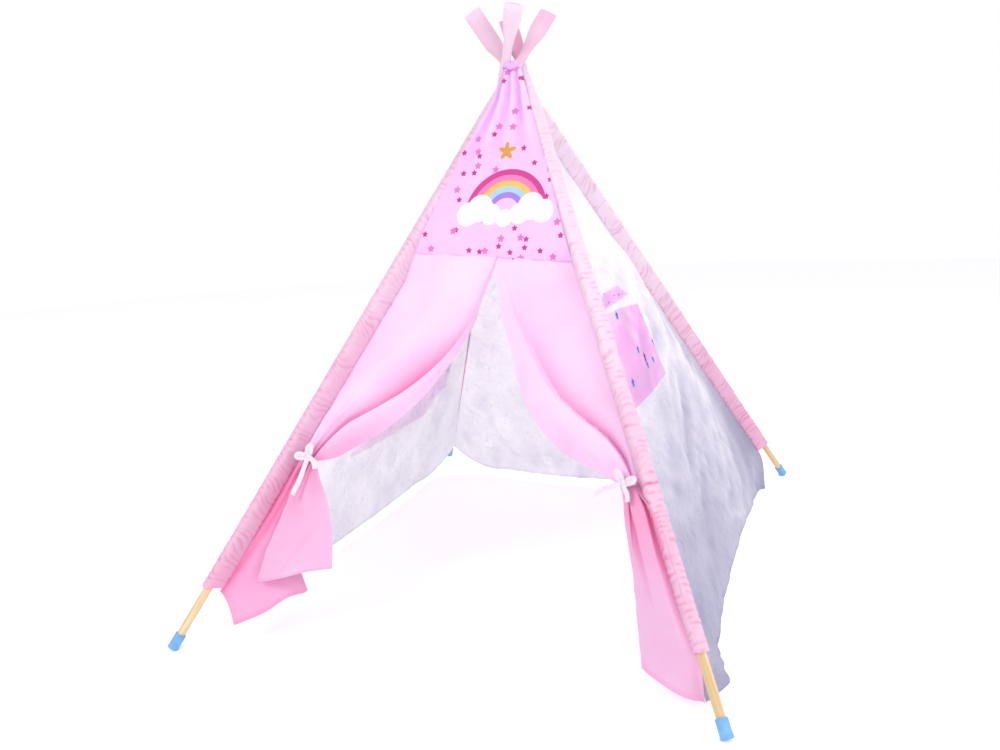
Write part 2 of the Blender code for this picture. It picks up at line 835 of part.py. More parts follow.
# Ties: a loop of tape round the curtain's waist, a knot, two bow loops and two tails.
def tape(name, points, radius, closed=False):
    curve = bpy.data.curves.new(name, "CURVE")
    curve.dimensions = "3D"
    spline = curve.splines.new("POLY")
    spline.points.add(len(points) - 1)
    for spot, place in zip(spline.points, points):
        spot.co = (*place, 1)
    spline.use_cyclic_u = closed
    curve.bevel_depth = radius
    curve.bevel_resolution = 1
    curve.use_fill_caps = True
    made = bpy.data.objects.new(name + "_line", curve)
    scene.collection.objects.link(made)
    bpy.context.view_layer.update()
    graph = bpy.context.evaluated_depsgraph_get()
    mesh = bpy.data.meshes.new_from_object(made.evaluated_get(graph))
    welded = bmesh.new()
    welded.from_mesh(mesh)
    bmesh.ops.remove_doubles(welded, verts=welded.verts, dist=WELD)
    bmesh.ops.recalc_face_normals(welded, faces=welded.faces)
    welded.to_mesh(mesh)
    welded.free()
    bpy.data.objects.remove(made)
    return bpy.data.objects.new(name, mesh)


tie_points = 20
# Bow parts as shares of the loop's length and width: where each loop reaches, seen from in front,
# with x towards the middle of the door and y up.
LOOP_SHARES = ((-0.85, 0.35), (0.75, 0.75))
TAIL_SHARES = ((-0.45, -1.7, -0.75, -3.0), (0.3, -1.5, 0.15, -2.6))
# How far the bow stands off the knot, as shares of the knot's radius, and how far the knot turns
# towards the door.
loop_root_share = 0.35
tail_stand_share = 1.2
tail_end_stand_share = 0.72
knot_inward_share = 0.4
loop_points = 10
tail_points = 9


def tie(side):
    corner, sign, _ = SIDES[side]
    pole = poles[corner]
    centre = waist_centre(side)
    clear = tie_clearance + tie_radius
    way = Vector((centre.x, centre.y, 0)).normalized()
    over = Vector((-way.y, way.x, 0))
    band = []
    for n in range(tie_points):
        turn = 2 * math.pi * n / tie_points
        spot = centre + way * ((waist_half_length + clear) * math.cos(turn))
        spot = spot + over * ((waist_half_thickness + clear) * math.sin(turn))
        band.append(pole.point(*spot))
    inner = Vector((sign, 0, 0))
    up = Vector((0, side_half_depth, crossing_height)).normalized()
    front = Vector((0, -up.z, up.y))
    knot_way = front + inner * knot_inward_share
    knot_at = max(band, key=knot_way.dot)
    knot_at = knot_at + front * (knot_radius - tie_radius / 2)
    pieces = [tape(side + "_tie", band, tie_radius, True)]
    knot = bmesh.new()
    bmesh.ops.create_icosphere(knot, subdivisions=2, radius=knot_radius)
    knot_mesh = bpy.data.meshes.new(side + "_knot")
    knot.to_mesh(knot_mesh)
    knot.free()
    knot_obj = bpy.data.objects.new(side + "_knot", knot_mesh)
    knot_obj.location = knot_at
    pieces.append(knot_obj)
    for n, (reach, rise) in enumerate(LOOP_SHARES):
        tip = inner * (reach * bow_loop_length) + up * (rise * bow_loop_length)
        across = tip.cross(front).normalized() * bow_loop_width
        base = knot_at + front * (knot_radius * loop_root_share)
        loop = []
        for k in range(loop_points):
            turn = 2 * math.pi * k / loop_points
            far = math.sin(turn / 2)
            bulge = front * (knot_radius * far)
            loop.append(base + tip * far + across * math.sin(turn) + bulge)
        pieces.append(tape(side + f"_loop_{n}", loop, bow_radius, True))
    stand = front * (knot_radius * tail_stand_share)
    end_stand = front * (knot_radius * tail_end_stand_share)
    for n, (bend_x, bend_y, end_x, end_y) in enumerate(TAIL_SHARES):
        bend = (inner * bend_x + up * bend_y) * bow_loop_length
        end = (inner * end_x + up * end_y) * bow_loop_length
        route = [knot_at, knot_at + bend / 2 + stand, knot_at + bend + stand, knot_at + end + end_stand]
        pieces.append(tape(side + f"_tail_{n}", eased_path(route, tail_points), bow_radius))
    main = pieces[0]
    main.data.materials.append(material("tie_tape", TIE_WHITE, 0.85))
    keep(main, pole.pivot, True)
    for n, other in enumerate(pieces[1:]):
        helpers.objects.link(other)
        other.hide_render = True
        other.display_type = "WIRE"
        join = main.modifiers.new(f"join_{n}", "BOOLEAN")
        join.operation = "UNION"
        join.solver = "EXACT"
        join.object = other


for side in SIDES:
    tie(side)
bpy.context.view_layer.update()
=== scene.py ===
# %% [markdown]
# # A child's play teepee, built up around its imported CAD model
#
# Four sectional pine poles stand in ruched pink sleeves and cross at the top. Between them hang thin
# white walls, and at the front a printed panel over two curtains that are tied back with bows.
# The CAD model fixes every size and every moving body. This script loads it, keeps its hard
# pieces, and sews new cloth around them. It starts by loading the frame and noting its size.
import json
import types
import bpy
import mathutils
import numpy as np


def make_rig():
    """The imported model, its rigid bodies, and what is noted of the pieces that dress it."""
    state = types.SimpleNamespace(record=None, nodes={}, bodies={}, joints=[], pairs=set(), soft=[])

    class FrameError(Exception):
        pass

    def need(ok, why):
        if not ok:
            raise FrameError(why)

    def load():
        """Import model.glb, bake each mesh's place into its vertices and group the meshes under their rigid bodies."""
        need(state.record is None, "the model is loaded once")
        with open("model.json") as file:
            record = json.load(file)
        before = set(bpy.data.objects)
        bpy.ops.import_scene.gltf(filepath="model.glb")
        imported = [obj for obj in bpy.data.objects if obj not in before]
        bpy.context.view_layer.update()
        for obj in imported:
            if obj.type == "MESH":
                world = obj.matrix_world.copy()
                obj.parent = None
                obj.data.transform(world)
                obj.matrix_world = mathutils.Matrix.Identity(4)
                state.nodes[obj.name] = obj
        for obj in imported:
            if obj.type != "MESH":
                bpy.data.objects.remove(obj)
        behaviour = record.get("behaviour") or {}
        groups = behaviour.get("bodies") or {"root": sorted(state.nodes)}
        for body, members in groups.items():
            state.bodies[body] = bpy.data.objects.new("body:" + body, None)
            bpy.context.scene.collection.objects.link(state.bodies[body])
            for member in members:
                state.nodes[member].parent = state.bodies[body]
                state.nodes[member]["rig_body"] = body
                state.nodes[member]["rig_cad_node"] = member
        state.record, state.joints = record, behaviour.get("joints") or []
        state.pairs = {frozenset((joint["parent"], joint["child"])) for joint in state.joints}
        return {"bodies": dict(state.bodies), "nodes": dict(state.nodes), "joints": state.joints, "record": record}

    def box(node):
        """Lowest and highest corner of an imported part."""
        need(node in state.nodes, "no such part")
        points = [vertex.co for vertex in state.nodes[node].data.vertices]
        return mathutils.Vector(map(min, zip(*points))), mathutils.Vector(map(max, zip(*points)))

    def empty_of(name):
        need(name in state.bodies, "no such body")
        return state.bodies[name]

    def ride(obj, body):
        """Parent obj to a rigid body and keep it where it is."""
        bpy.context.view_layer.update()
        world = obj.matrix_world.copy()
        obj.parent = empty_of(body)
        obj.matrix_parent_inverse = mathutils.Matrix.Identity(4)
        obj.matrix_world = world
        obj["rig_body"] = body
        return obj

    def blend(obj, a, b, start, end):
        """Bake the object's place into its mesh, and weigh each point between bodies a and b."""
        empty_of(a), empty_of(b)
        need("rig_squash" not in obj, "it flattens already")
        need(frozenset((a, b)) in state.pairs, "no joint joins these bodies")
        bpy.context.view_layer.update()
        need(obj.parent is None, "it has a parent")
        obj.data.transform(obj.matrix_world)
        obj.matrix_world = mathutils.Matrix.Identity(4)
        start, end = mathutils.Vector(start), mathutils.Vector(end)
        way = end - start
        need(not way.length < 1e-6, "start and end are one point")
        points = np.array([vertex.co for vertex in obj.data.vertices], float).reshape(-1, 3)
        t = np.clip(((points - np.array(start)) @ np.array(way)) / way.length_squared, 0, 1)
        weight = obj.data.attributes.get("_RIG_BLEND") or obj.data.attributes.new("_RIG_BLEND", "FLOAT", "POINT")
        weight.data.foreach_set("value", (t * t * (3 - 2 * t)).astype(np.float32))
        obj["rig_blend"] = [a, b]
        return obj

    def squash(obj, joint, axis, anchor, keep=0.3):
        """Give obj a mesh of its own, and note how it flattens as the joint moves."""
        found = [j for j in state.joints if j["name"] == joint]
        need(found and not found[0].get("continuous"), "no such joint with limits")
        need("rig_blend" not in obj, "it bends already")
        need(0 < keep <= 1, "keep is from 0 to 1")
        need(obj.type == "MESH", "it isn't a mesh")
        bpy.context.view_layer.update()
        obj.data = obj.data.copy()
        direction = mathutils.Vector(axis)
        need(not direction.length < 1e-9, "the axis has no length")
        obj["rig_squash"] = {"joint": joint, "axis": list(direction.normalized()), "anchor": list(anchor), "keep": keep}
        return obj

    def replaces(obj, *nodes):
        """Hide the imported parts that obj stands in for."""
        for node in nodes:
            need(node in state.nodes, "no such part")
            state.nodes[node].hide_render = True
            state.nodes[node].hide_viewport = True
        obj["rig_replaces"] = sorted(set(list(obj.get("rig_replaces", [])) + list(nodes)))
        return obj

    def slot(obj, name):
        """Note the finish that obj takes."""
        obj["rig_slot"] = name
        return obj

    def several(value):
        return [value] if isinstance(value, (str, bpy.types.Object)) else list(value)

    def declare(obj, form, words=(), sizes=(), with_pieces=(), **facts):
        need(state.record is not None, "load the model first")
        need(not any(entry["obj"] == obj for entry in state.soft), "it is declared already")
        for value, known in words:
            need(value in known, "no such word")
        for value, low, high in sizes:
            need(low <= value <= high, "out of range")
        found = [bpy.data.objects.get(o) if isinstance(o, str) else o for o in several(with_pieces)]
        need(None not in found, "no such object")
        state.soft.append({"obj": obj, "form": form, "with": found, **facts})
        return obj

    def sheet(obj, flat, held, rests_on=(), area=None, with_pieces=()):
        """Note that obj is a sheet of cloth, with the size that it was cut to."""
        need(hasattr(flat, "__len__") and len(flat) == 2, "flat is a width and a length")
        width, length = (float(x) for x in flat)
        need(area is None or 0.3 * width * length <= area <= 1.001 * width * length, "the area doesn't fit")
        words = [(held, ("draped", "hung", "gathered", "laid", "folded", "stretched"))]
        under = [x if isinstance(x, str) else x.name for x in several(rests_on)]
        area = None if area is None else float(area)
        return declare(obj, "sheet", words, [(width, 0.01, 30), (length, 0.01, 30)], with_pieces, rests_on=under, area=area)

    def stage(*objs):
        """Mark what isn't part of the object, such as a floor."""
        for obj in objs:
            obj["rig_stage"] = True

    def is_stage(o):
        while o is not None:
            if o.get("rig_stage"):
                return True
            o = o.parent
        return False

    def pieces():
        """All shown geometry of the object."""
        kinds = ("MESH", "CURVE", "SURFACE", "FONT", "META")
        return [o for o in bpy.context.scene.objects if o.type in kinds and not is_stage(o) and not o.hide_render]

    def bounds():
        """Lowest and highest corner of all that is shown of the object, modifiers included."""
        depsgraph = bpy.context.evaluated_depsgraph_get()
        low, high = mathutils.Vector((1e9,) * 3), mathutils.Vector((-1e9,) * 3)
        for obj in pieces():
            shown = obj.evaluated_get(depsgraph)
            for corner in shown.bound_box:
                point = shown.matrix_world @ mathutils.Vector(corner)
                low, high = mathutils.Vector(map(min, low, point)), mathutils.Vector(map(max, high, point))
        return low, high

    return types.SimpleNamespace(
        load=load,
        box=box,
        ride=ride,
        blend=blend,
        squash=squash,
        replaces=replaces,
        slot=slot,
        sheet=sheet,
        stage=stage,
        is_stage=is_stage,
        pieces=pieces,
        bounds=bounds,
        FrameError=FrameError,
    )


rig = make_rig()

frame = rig.load()

import json
import math

import bmesh
import bpy
from mathutils import Matrix, Vector, noise

cad_low, cad_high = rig.bounds()
nodes = frame["nodes"]
print("CAD nodes:", len(nodes), "box:", [round(x, 4) for x in (*cad_low, *cad_high)])

# %% [markdown]
# ## The camera
#
# The photograph was taken from the front right, from two thirds of the teepee's height. The place
# and the three angles were fitted to the feet and to the crossing of the poles. A camera looks
# along its own minus Z, so the matrix is put together from its right, up and backward directions.

# %% Camera
CAMERA_PLACE = Vector((0.7667, -2.1545, 0.9431))
CAMERA_YAW = math.radians(21.47)
CAMERA_PITCH = math.radians(11.42)
CAMERA_ROLL = math.radians(-3.19)
CAMERA_LENS_MM = 31.86
SENSOR_WIDTH_MM = 36

level = math.cos(CAMERA_PITCH)
looking = Vector(
    (-math.sin(CAMERA_YAW) * level, math.cos(CAMERA_YAW) * level, -math.sin(CAMERA_PITCH))
)
level_right = looking.cross(Vector((0, 0, 1))).normalized()
level_up = level_right.cross(looking)
camera_right = level_right * math.cos(CAMERA_ROLL) + level_up * math.sin(CAMERA_ROLL)
camera_up = level_up * math.cos(CAMERA_ROLL) - level_right * math.sin(CAMERA_ROLL)
camera_data = bpy.data.cameras.new("camera")
camera_data.lens = CAMERA_LENS_MM
camera_data.sensor_width = SENSOR_WIDTH_MM
camera_data.sensor_fit = "HORIZONTAL"
camera = bpy.data.objects.new("camera", camera_data)
bpy.context.scene.collection.objects.link(camera)
turned = Matrix((camera_right, camera_up, -looking)).transposed().to_4x4()
camera.matrix_world = Matrix.Translation(CAMERA_PLACE) @ turned
bpy.context.scene.camera = camera
print("camera looks along", [round(x, 3) for x in looking])

# %% [markdown]
# ## Where the poles are
#
# Every piece of cloth hangs from a pole, so each pole gets a small ruler of its own. Its origin is
# the point that the pole's fold joint turns about, `along` runs up the pole, `side` lies level and
# `inward` points into the teepee. The joint gives the origin and the level axis, and the lower
# wooden section gives the direction, so nothing here is measured twice.

# %% Poles
CORNERS = ("front_left", "front_right", "back_right", "back_left")
joints = {joint["name"]: joint for joint in frame["joints"]}


class Pole:
    def __init__(self, corner):
        joint = joints[corner + "_fold"]
        low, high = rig.box(corner + "_pole_lower")
        self.body = joint["child"]
        self.fold = corner + "_fold"
        self.origin = Vector(joint["pos_m"])
        self.along = (self.origin - (low + high) / 2).normalized()
        tangent = Vector(joint["axis"])
        self.side = (tangent - self.along * tangent.dot(self.along)).normalized()
        self.inward = self.along.cross(self.side)

    def point(self, side, inward, along):
        return self.origin + self.side * side + self.inward * inward + self.along * along

    def at_height(self, height):
        return (height - self.origin.z) / self.along.z


poles = {corner: Pole(corner) for corner in CORNERS}
crossing_height = poles["front_left"].origin.z
print("the poles cross at", round(crossing_height, 4), "m")

# %% [markdown]
# ## Making cloth
#
# All the cloth is made in one way. A flat grid from bmesh is laid over the shape: each of its
# points has a share across and a share along, and a function says where that point hangs. A UV
# map in real metres goes with it, so that the weave keeps its scale wherever the cloth turns, and
# an attribute, depth, holds painted shade: how far each point's colour is painted darker, most in
# fold valleys, creases, seams and gathers. The solidify operator then gives the sheet two sides and
# a rim. A simulation could drape such sheets too, but here the photograph shows where the folds
# run, and a function puts them there.

# %% Cloth helpers
CLOTH_THICKNESS = 0.0009
SHARP_ANGLE = math.radians(60)
cloth_areas = {}


def ease(x):
    x = min(max(x, 0), 1)
    return x * x * (3 - 2 * x)


def bump(x, middle, width):
    """A smooth hill, 1 high, with its top at middle."""
    return math.exp(-(((x - middle) / width) ** 2))


def table_at(table, x):
    """Reads a table of (x, value) pairs, joined by straight lines."""
    if x <= table[0][0]:
        return table[0][1]
    for (x0, a), (x1, b) in zip(table, table[1:]):
        if x <= x1:
            return a + (b - a) * (x - x0) / (x1 - x0)
    return table[-1][1]


def smooth_path(points, share):
    """A place on a smooth curve through the points, by its share of their number."""
    points = [Vector(p) for p in points]
    last = len(points) - 1
    s = min(max(share, 0), 1) * last
    k = min(int(s), last - 1)
    f = s - k
    before = points[max(k - 1, 0)]
    after = points[min(k + 2, last)]
    m1 = (points[k + 1] - before) / 2
    m2 = (after - points[k]) / 2
    h1 = 2 * f**3 - 3 * f**2 + 1
    h2 = 3 * f**2 - 2 * f**3
    h3 = f**3 - 2 * f**2 + f
    h4 = f**3 - f**2
    return points[k] * h1 + points[k + 1] * h2 + m1 * h3 + m2 * h4


def crease(x, y, seed):
    """Creased cloth: soft swells with sharp valleys between them, from -1 to 1."""
    return 1 - 4 * abs(noise.noise(Vector((x, y, seed))))


def finish_mesh(obj):
    obj.data.shade_smooth()
    obj.data.set_sharp_from_angle(angle=SHARP_ANGLE)


def new_object(name, mesh_maker, *materials):
    mesh = bpy.data.meshes.new(name)
    mesh_maker.to_mesh(mesh)
    mesh_maker.free()
    obj = bpy.data.objects.new(name, mesh)
    bpy.context.scene.collection.objects.link(obj)
    for material in materials:
        mesh.materials.append(material)
    return obj


def cloth(name, columns, rows, place, flat, material, shade=None, tube=False, thick=None):
    """A sheet of columns x rows faces whose points hang at place(u, v), cut flat to flat metres."""
    sheet = bmesh.new()
    bmesh.ops.create_grid(sheet, x_segments=columns, y_segments=rows, size=0.5)
    weave = sheet.loops.layers.uv.new("weave")
    # the depth attribute holds each point's painted shade: how far its colour is painted darker
    depth = sheet.verts.layers.float.new("depth")
    for face in sheet.faces:
        for loop in face.loops:
            u, v = loop.vert.co.x + 0.5, loop.vert.co.y + 0.5
            loop[weave].uv = (u * flat[0], v * flat[1])
    for vert in sheet.verts:
        u, v = vert.co.x + 0.5, vert.co.y + 0.5
        vert.co = place(u, v)
        vert[depth] = shade(u, v) if shade else 0
    if tube:
        bmesh.ops.remove_doubles(sheet, verts=sheet.verts, dist=1e-5)
    cloth_areas[name] = sum(face.calc_area() for face in sheet.faces)
    bmesh.ops.solidify(sheet, geom=sheet.faces[:], thickness=thick or CLOTH_THICKNESS)
    bmesh.ops.recalc_face_normals(sheet, faces=sheet.faces)
    obj = new_object(name, sheet, material)
    finish_mesh(obj)
    return obj


def join_pieces(name, pieces, *materials):
    """Joins pieces to one mesh. With several materials, piece n keeps the nth."""
    joined = bmesh.new()
    for index, piece in enumerate(pieces):
        done = len(joined.faces)
        joined.from_mesh(piece.data)
        joined.faces.ensure_lookup_table()
        if len(materials) > 1:
            for face in joined.faces[done:]:
                face.material_index = index
        bpy.data.objects.remove(piece)
    obj = new_object(name, joined, *materials)
    finish_mesh(obj)
    return obj


def stand_in(obj, name, slot, body):
    """Takes the place of a CAD piece, in a slot, and rides on a body of the machine."""
    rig.replaces(obj, name)
    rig.slot(obj, slot)
    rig.ride(obj, body)


# %% [markdown]
# ## Materials
#
# Colours are written as they look on a screen, from 0 to 255, and turned into the linear values
# that Blender wants. Each finish starts from the same Principled shader, with its roughness and
# sheen set on the shader's own sockets.

# %% Material helpers
def screen(red, green, blue):
    """A screen colour as a linear one."""
    made = []
    for value in (red, green, blue):
        value /= 255
        made.append(value / 12.92 if value <= 0.04045 else ((value + 0.055) / 1.055) ** 2.4)
    return (*made, 1)


class Tree:
    """Short ways to add nodes to a node tree and to link them."""

    def __init__(self, tree):
        self.tree = tree

    def node(self, kind, **settings):
        made = self.tree.nodes.new("ShaderNode" + kind)
        for key, value in settings.items():
            setattr(made, key, value)
        return made

    def link(self, source, target):
        self.tree.links.new(source, target)

    def math(self, operation, a, b=None, clamp=False):
        made = self.node("Math", operation=operation, use_clamp=clamp)
        for socket, value in zip(made.inputs, (a, b)):
            if value is None:
                continue
            if isinstance(value, (int, float)):
                socket.default_value = value
            else:
                self.link(value, socket)
        return made.outputs[0]

    def mix(self, share, a, b):
        made = self.node("Mix", data_type="RGBA")
        for socket, value in zip((made.inputs[0], made.inputs[6], made.inputs[7]), (share, a, b)):
            if isinstance(value, (int, float, tuple)):
                socket.default_value = value
            else:
                self.link(value, socket)
        return made.outputs[2]

    def choose(self, share, first, second):
        """Two shaders mixed: share is how much of the second there is."""
        made = self.node("MixShader")
        for socket, value in zip(made.inputs, (share, first, second)):
            if isinstance(value, (int, float)):
                socket.default_value = value
            else:
                self.link(value, socket)
        return made.outputs[0]

    def split(self, vector):
        made = self.node("SeparateXYZ")
        self.link(vector, made.inputs[0])
        return made.outputs

    def noise_at(self, place, scale, detail=2.0):
        made = self.node("TexNoise")
        made.inputs["Scale"].default_value = scale
        made.inputs["Detail"].default_value = detail
        self.link(place, made.inputs["Vector"])
        return made.outputs["Fac"]

    def object_noise(self, scale, detail=2.0, stretch=(1, 1, 1)):
        mapping = self.node("Mapping")
        mapping.inputs["Scale"].default_value = stretch
        self.link(self.node("TexCoord").outputs["Object"], mapping.inputs["Vector"])
        return self.noise_at(mapping.outputs[0], scale, detail)

    def seen_rays(self):
        """1 for the rays that show the background itself: straight, mirrored or through glass."""
        rays = self.node("LightPath").outputs
        glassy = self.math("MAXIMUM", rays["Is Glossy Ray"], rays["Is Transmission Ray"])
        return self.math("MAXIMUM", rays["Is Camera Ray"], glassy)

    def bump(self, height, distance, strength=1.0, after=None):
        made = self.node("Bump")
        made.inputs["Distance"].default_value = distance
        made.inputs["Strength"].default_value = strength
        self.link(height, made.inputs["Height"])
        if after is not None:
            self.link(after, made.inputs["Normal"])
        return made.outputs[0]


class Finish(Tree):
    """A material made of one Principled shader."""

    def __init__(self, name, roughness, sheen=0.0, specular=0.5):
        self.material = bpy.data.materials.new(name)
        self.material.use_nodes = True
        super().__init__(self.material.node_tree)
        self.shader = self.tree.nodes["Principled BSDF"]
        self.output = self.tree.nodes["Material Output"].inputs["Surface"]
        self.shader.inputs["Roughness"].default_value = roughness
        self.shader.inputs["Sheen Weight"].default_value = sheen
        self.shader.inputs["Sheen Roughness"].default_value = 0.4
        self.shader.inputs["Specular IOR Level"].default_value = specular

    def paint(self, colour, normal=None):
        self.link(colour, self.shader.inputs["Base Color"])
        if normal is not None:
            self.link(normal, self.shader.inputs["Normal"])


# %% [markdown]
# Thin polyester taffeta has a fine plain weave, a soft sheen, and lets light through. The weave is
# two sets of waves on the UV map, crossing each other and used only as a slight bump. The colour
# is painted shade: it goes from the pale colour towards the deep one as far as the depth attribute
# says, so fold valleys, creases, seams and gathers are painted darker, and a faint cloud of random
# tone is added. A Translucent shader mixed in gives the glow of cloth lit from behind.

# %% Cloth finish
THREAD_PITCH = 0.0007
CRUMPLE_SCALES = (26, 61)


def cloth_finish(name, pale, deep, clear, sheen=0.25, roughness=0.72, picture=None, crumple=0):
    finish = Finish(name, roughness, sheen, 0.25)
    spot = finish.split(finish.node("UVMap", uv_map="weave").outputs[0])
    threads = []
    for axis in (0, 1):
        turn = finish.math("MULTIPLY", spot[axis], 2 * math.pi / THREAD_PITCH)
        threads.append(finish.math("SINE", turn))
    weave = finish.math("MULTIPLY", *threads)
    cloudy = finish.object_noise(9, 3)
    crinkled = finish.object_noise(34, 4, (1, 1, 0.5))
    depth = finish.node("Attribute", attribute_name="depth").outputs["Fac"]
    wear = finish.math("MULTIPLY", finish.math("SUBTRACT", cloudy, 0.5), 0.35)
    # painted shade: the depth attribute, plus a faint random cloud, mixes the pale colour towards the deep one
    share = finish.math("ADD", depth, wear, clamp=True)
    colour = finish.mix(share, screen(*pale), screen(*deep))
    if picture is not None:
        colour = picture(finish, colour)
    normal = finish.bump(crinkled, 0.0022, 0.5)
    for scale in CRUMPLE_SCALES if crumple else ():
        ridges = finish.math("SUBTRACT", finish.object_noise(scale, 1.5), 0.5)
        ridges = finish.math("ABSOLUTE", ridges)
        normal = finish.bump(ridges, -0.3 * crumple / scale, 0.8, normal)
    normal = finish.bump(weave, 0.00006, 0.4, normal)
    finish.paint(colour, normal)
    through = finish.node("BsdfTranslucent")
    finish.link(colour, through.inputs["Color"])
    finish.link(normal, through.inputs["Normal"])
    mixed = finish.choose(clear, finish.shader.outputs[0], through.outputs[0])
    finish.link(mixed, finish.output)
    return finish.material


# Each finish's deep colour is the colour of its painted shade
sleeve_cloth = cloth_finish("sleeve_cloth", (255, 241, 253), (250, 140, 202), 0.4)
curtain_cloth = cloth_finish("curtain_cloth", (255, 236, 254), (252, 140, 206), 0.42)
skirt_cloth = cloth_finish("skirt_cloth", (250, 218, 243), (253, 124, 190), 0.38)
wall_cloth = cloth_finish(
    "wall_cloth", (254, 252, 255), (190, 190, 210), 0.6, 0.15, 0.5, crumple=1.6
)
print("cloth finishes made with a thread pitch of", THREAD_PITCH, "m")

# %% [markdown]
# ## The printed panel's picture
#
# The panel over the door carries a printed picture. The one made here is a plain nursery design of
# my own: a rainbow that stands on a cloud, a gold star, and small flowers strewn in magenta and
# pale pink. It could be cut out as thin meshes, but shapes made of distances in the material
# stay sharp at any size and cross the panel's middle crease unbroken. The UV map is in metres, so
# a circle is simply every point whose distance from a centre is less than a radius.

# %% Picture on the print
PANEL_X = 0.04
ARCH_CENTRE = (PANEL_X, 0.905)
ARCH_BANDS = (
    (0.098, (226, 84, 170)),
    (0.085, (250, 150, 205)),
    (0.072, (250, 214, 120)),
    (0.059, (190, 226, 250)),
    (0.046, (186, 150, 235)),
)
ARCH_INNER = (0.033, (252, 214, 250))
CLOUD_PUFFS = (
    (-0.09, 0.0, 0.027), (-0.062, 0.012, 0.031), (-0.035, -0.002, 0.024),
    (0.035, -0.003, 0.024), (0.06, 0.012, 0.031), (0.09, 0.0, 0.026), (0.0, -0.012, 0.02),
)
STAR_PLACE = (PANEL_X - 0.012, 1.045)
STAR_SIZE = 0.021


def apart(finish, spot, centre):
    """The distance of each point from a centre, and its two parts."""
    x = finish.math("SUBTRACT", spot[0], centre[0])
    y = finish.math("SUBTRACT", spot[1], centre[1])
    square = finish.math("ADD", finish.math("MULTIPLY", x, x), finish.math("MULTIPLY", y, y))
    return finish.math("SQRT", square), x, y


def petals(finish, radius, x, y, size, count, lobe):
    """1 inside a shape with count points or petals, 0 outside it."""
    turn = finish.math("ARCTAN2", x, y)
    wave = finish.math("COSINE", finish.math("MULTIPLY", turn, count))
    edge = finish.math("ADD", finish.math("MULTIPLY", wave, size * lobe), size * (1 - lobe))
    return finish.math("LESS_THAN", radius, edge)


def scattered(finish, colour, uv, pitch, size, paint, shift, share):
    """Flowers strewn over the cloth, one at most in each cell of a Voronoi pattern."""
    mapping = finish.node("Mapping")
    mapping.inputs["Location"].default_value = (*shift, 0)
    finish.link(uv, mapping.inputs["Vector"])
    cells = finish.node("TexVoronoi", voronoi_dimensions="2D")
    cells.inputs["Scale"].default_value = 1 / pitch
    cells.inputs["Randomness"].default_value = 0.75
    finish.link(mapping.outputs[0], cells.inputs["Vector"])
    off = finish.node("VectorMath", operation="SUBTRACT")
    finish.link(mapping.outputs[0], off.inputs[0])
    finish.link(cells.outputs["Position"], off.inputs[1])
    radius, x, y = apart(finish, finish.split(off.outputs[0]), (0, 0))
    shape = petals(finish, radius, x, y, size, 5, 0.2)
    draw = finish.node("SeparateColor")
    finish.link(cells.outputs["Color"], draw.inputs[0])
    chosen = finish.math("LESS_THAN", draw.outputs[0], share)
    return finish.mix(finish.math("MULTIPLY", shape, chosen), colour, screen(*paint))


def nursery_picture(finish, colour):
    uv = finish.node("UVMap", uv_map="weave").outputs[0]
    spot = finish.split(uv)
    colour = scattered(finish, colour, uv, 0.036, 0.0068, (214, 74, 158), (0.013, 0.02), 0.5)
    colour = scattered(finish, colour, uv, 0.043, 0.0085, (240, 140, 214), (0.31, 0.17), 0.45)
    radius, _, y = apart(finish, spot, ARCH_CENTRE)
    above = finish.math("GREATER_THAN", y, 0)
    for reach, paint in (*ARCH_BANDS, ARCH_INNER):
        band = finish.math("MULTIPLY", finish.math("LESS_THAN", radius, reach), above)
        colour = finish.mix(band, colour, screen(*paint))
    cloud = None
    for x, z, size in CLOUD_PUFFS:
        radius, _, _ = apart(finish, spot, (ARCH_CENTRE[0] + x, ARCH_CENTRE[1] + z))
        puff = finish.math("LESS_THAN", radius, size)
        cloud = puff if cloud is None else finish.math("MAXIMUM", cloud, puff)
    colour = finish.mix(cloud, colour, screen(255, 247, 255))
    radius, x, y = apart(finish, spot, STAR_PLACE)
    star = petals(finish, radius, x, y, STAR_SIZE, 5, 0.28)
    return finish.mix(star, colour, screen(236, 176, 92))


print_cloth = cloth_finish(
    "print_cloth", (255, 226, 255), (240, 164, 250), 0.3, picture=nursery_picture
)
cuff_cloth = cloth_finish("cuff_cloth", (255, 226, 255), (238, 150, 248), 0.28)
print("the picture has", len(ARCH_BANDS), "rainbow bands and", len(CLOUD_PUFFS), "cloud puffs")

# %% [markdown]
# The patches on the side walls are printed too. They get their own plain design, loose flowers in
# violet, blue and white on pink.

# %% Patch finish
def patch_picture(finish, colour):
    uv = finish.node("UVMap", uv_map="weave").outputs[0]
    colour = scattered(finish, colour, uv, 0.05, 0.012, (255, 226, 250), (0.02, 0.4), 0.6)
    colour = scattered(finish, colour, uv, 0.07, 0.0115, (176, 104, 208), (0.42, 0.1), 0.3)
    return scattered(finish, colour, uv, 0.065, 0.0085, (126, 188, 238), (0.7, 0.25), 0.3)


patch_cloth = cloth_finish(
    "patch_cloth", (252, 240, 251), (250, 208, 241), 0.84, picture=patch_picture
)

# %% [markdown]
# ## Wood, caps and joining tubes
#
# These CAD pieces have the right shape, so they stay and get finishes. Pine has long pale streaks
# of grain along the pole. Each pole leans its own way, so each one gets its own material, in which
# a Mapping node turns the noise until it is stretched along that pole.

# %% Hard finishes
GRAIN_STRETCH = 0.045


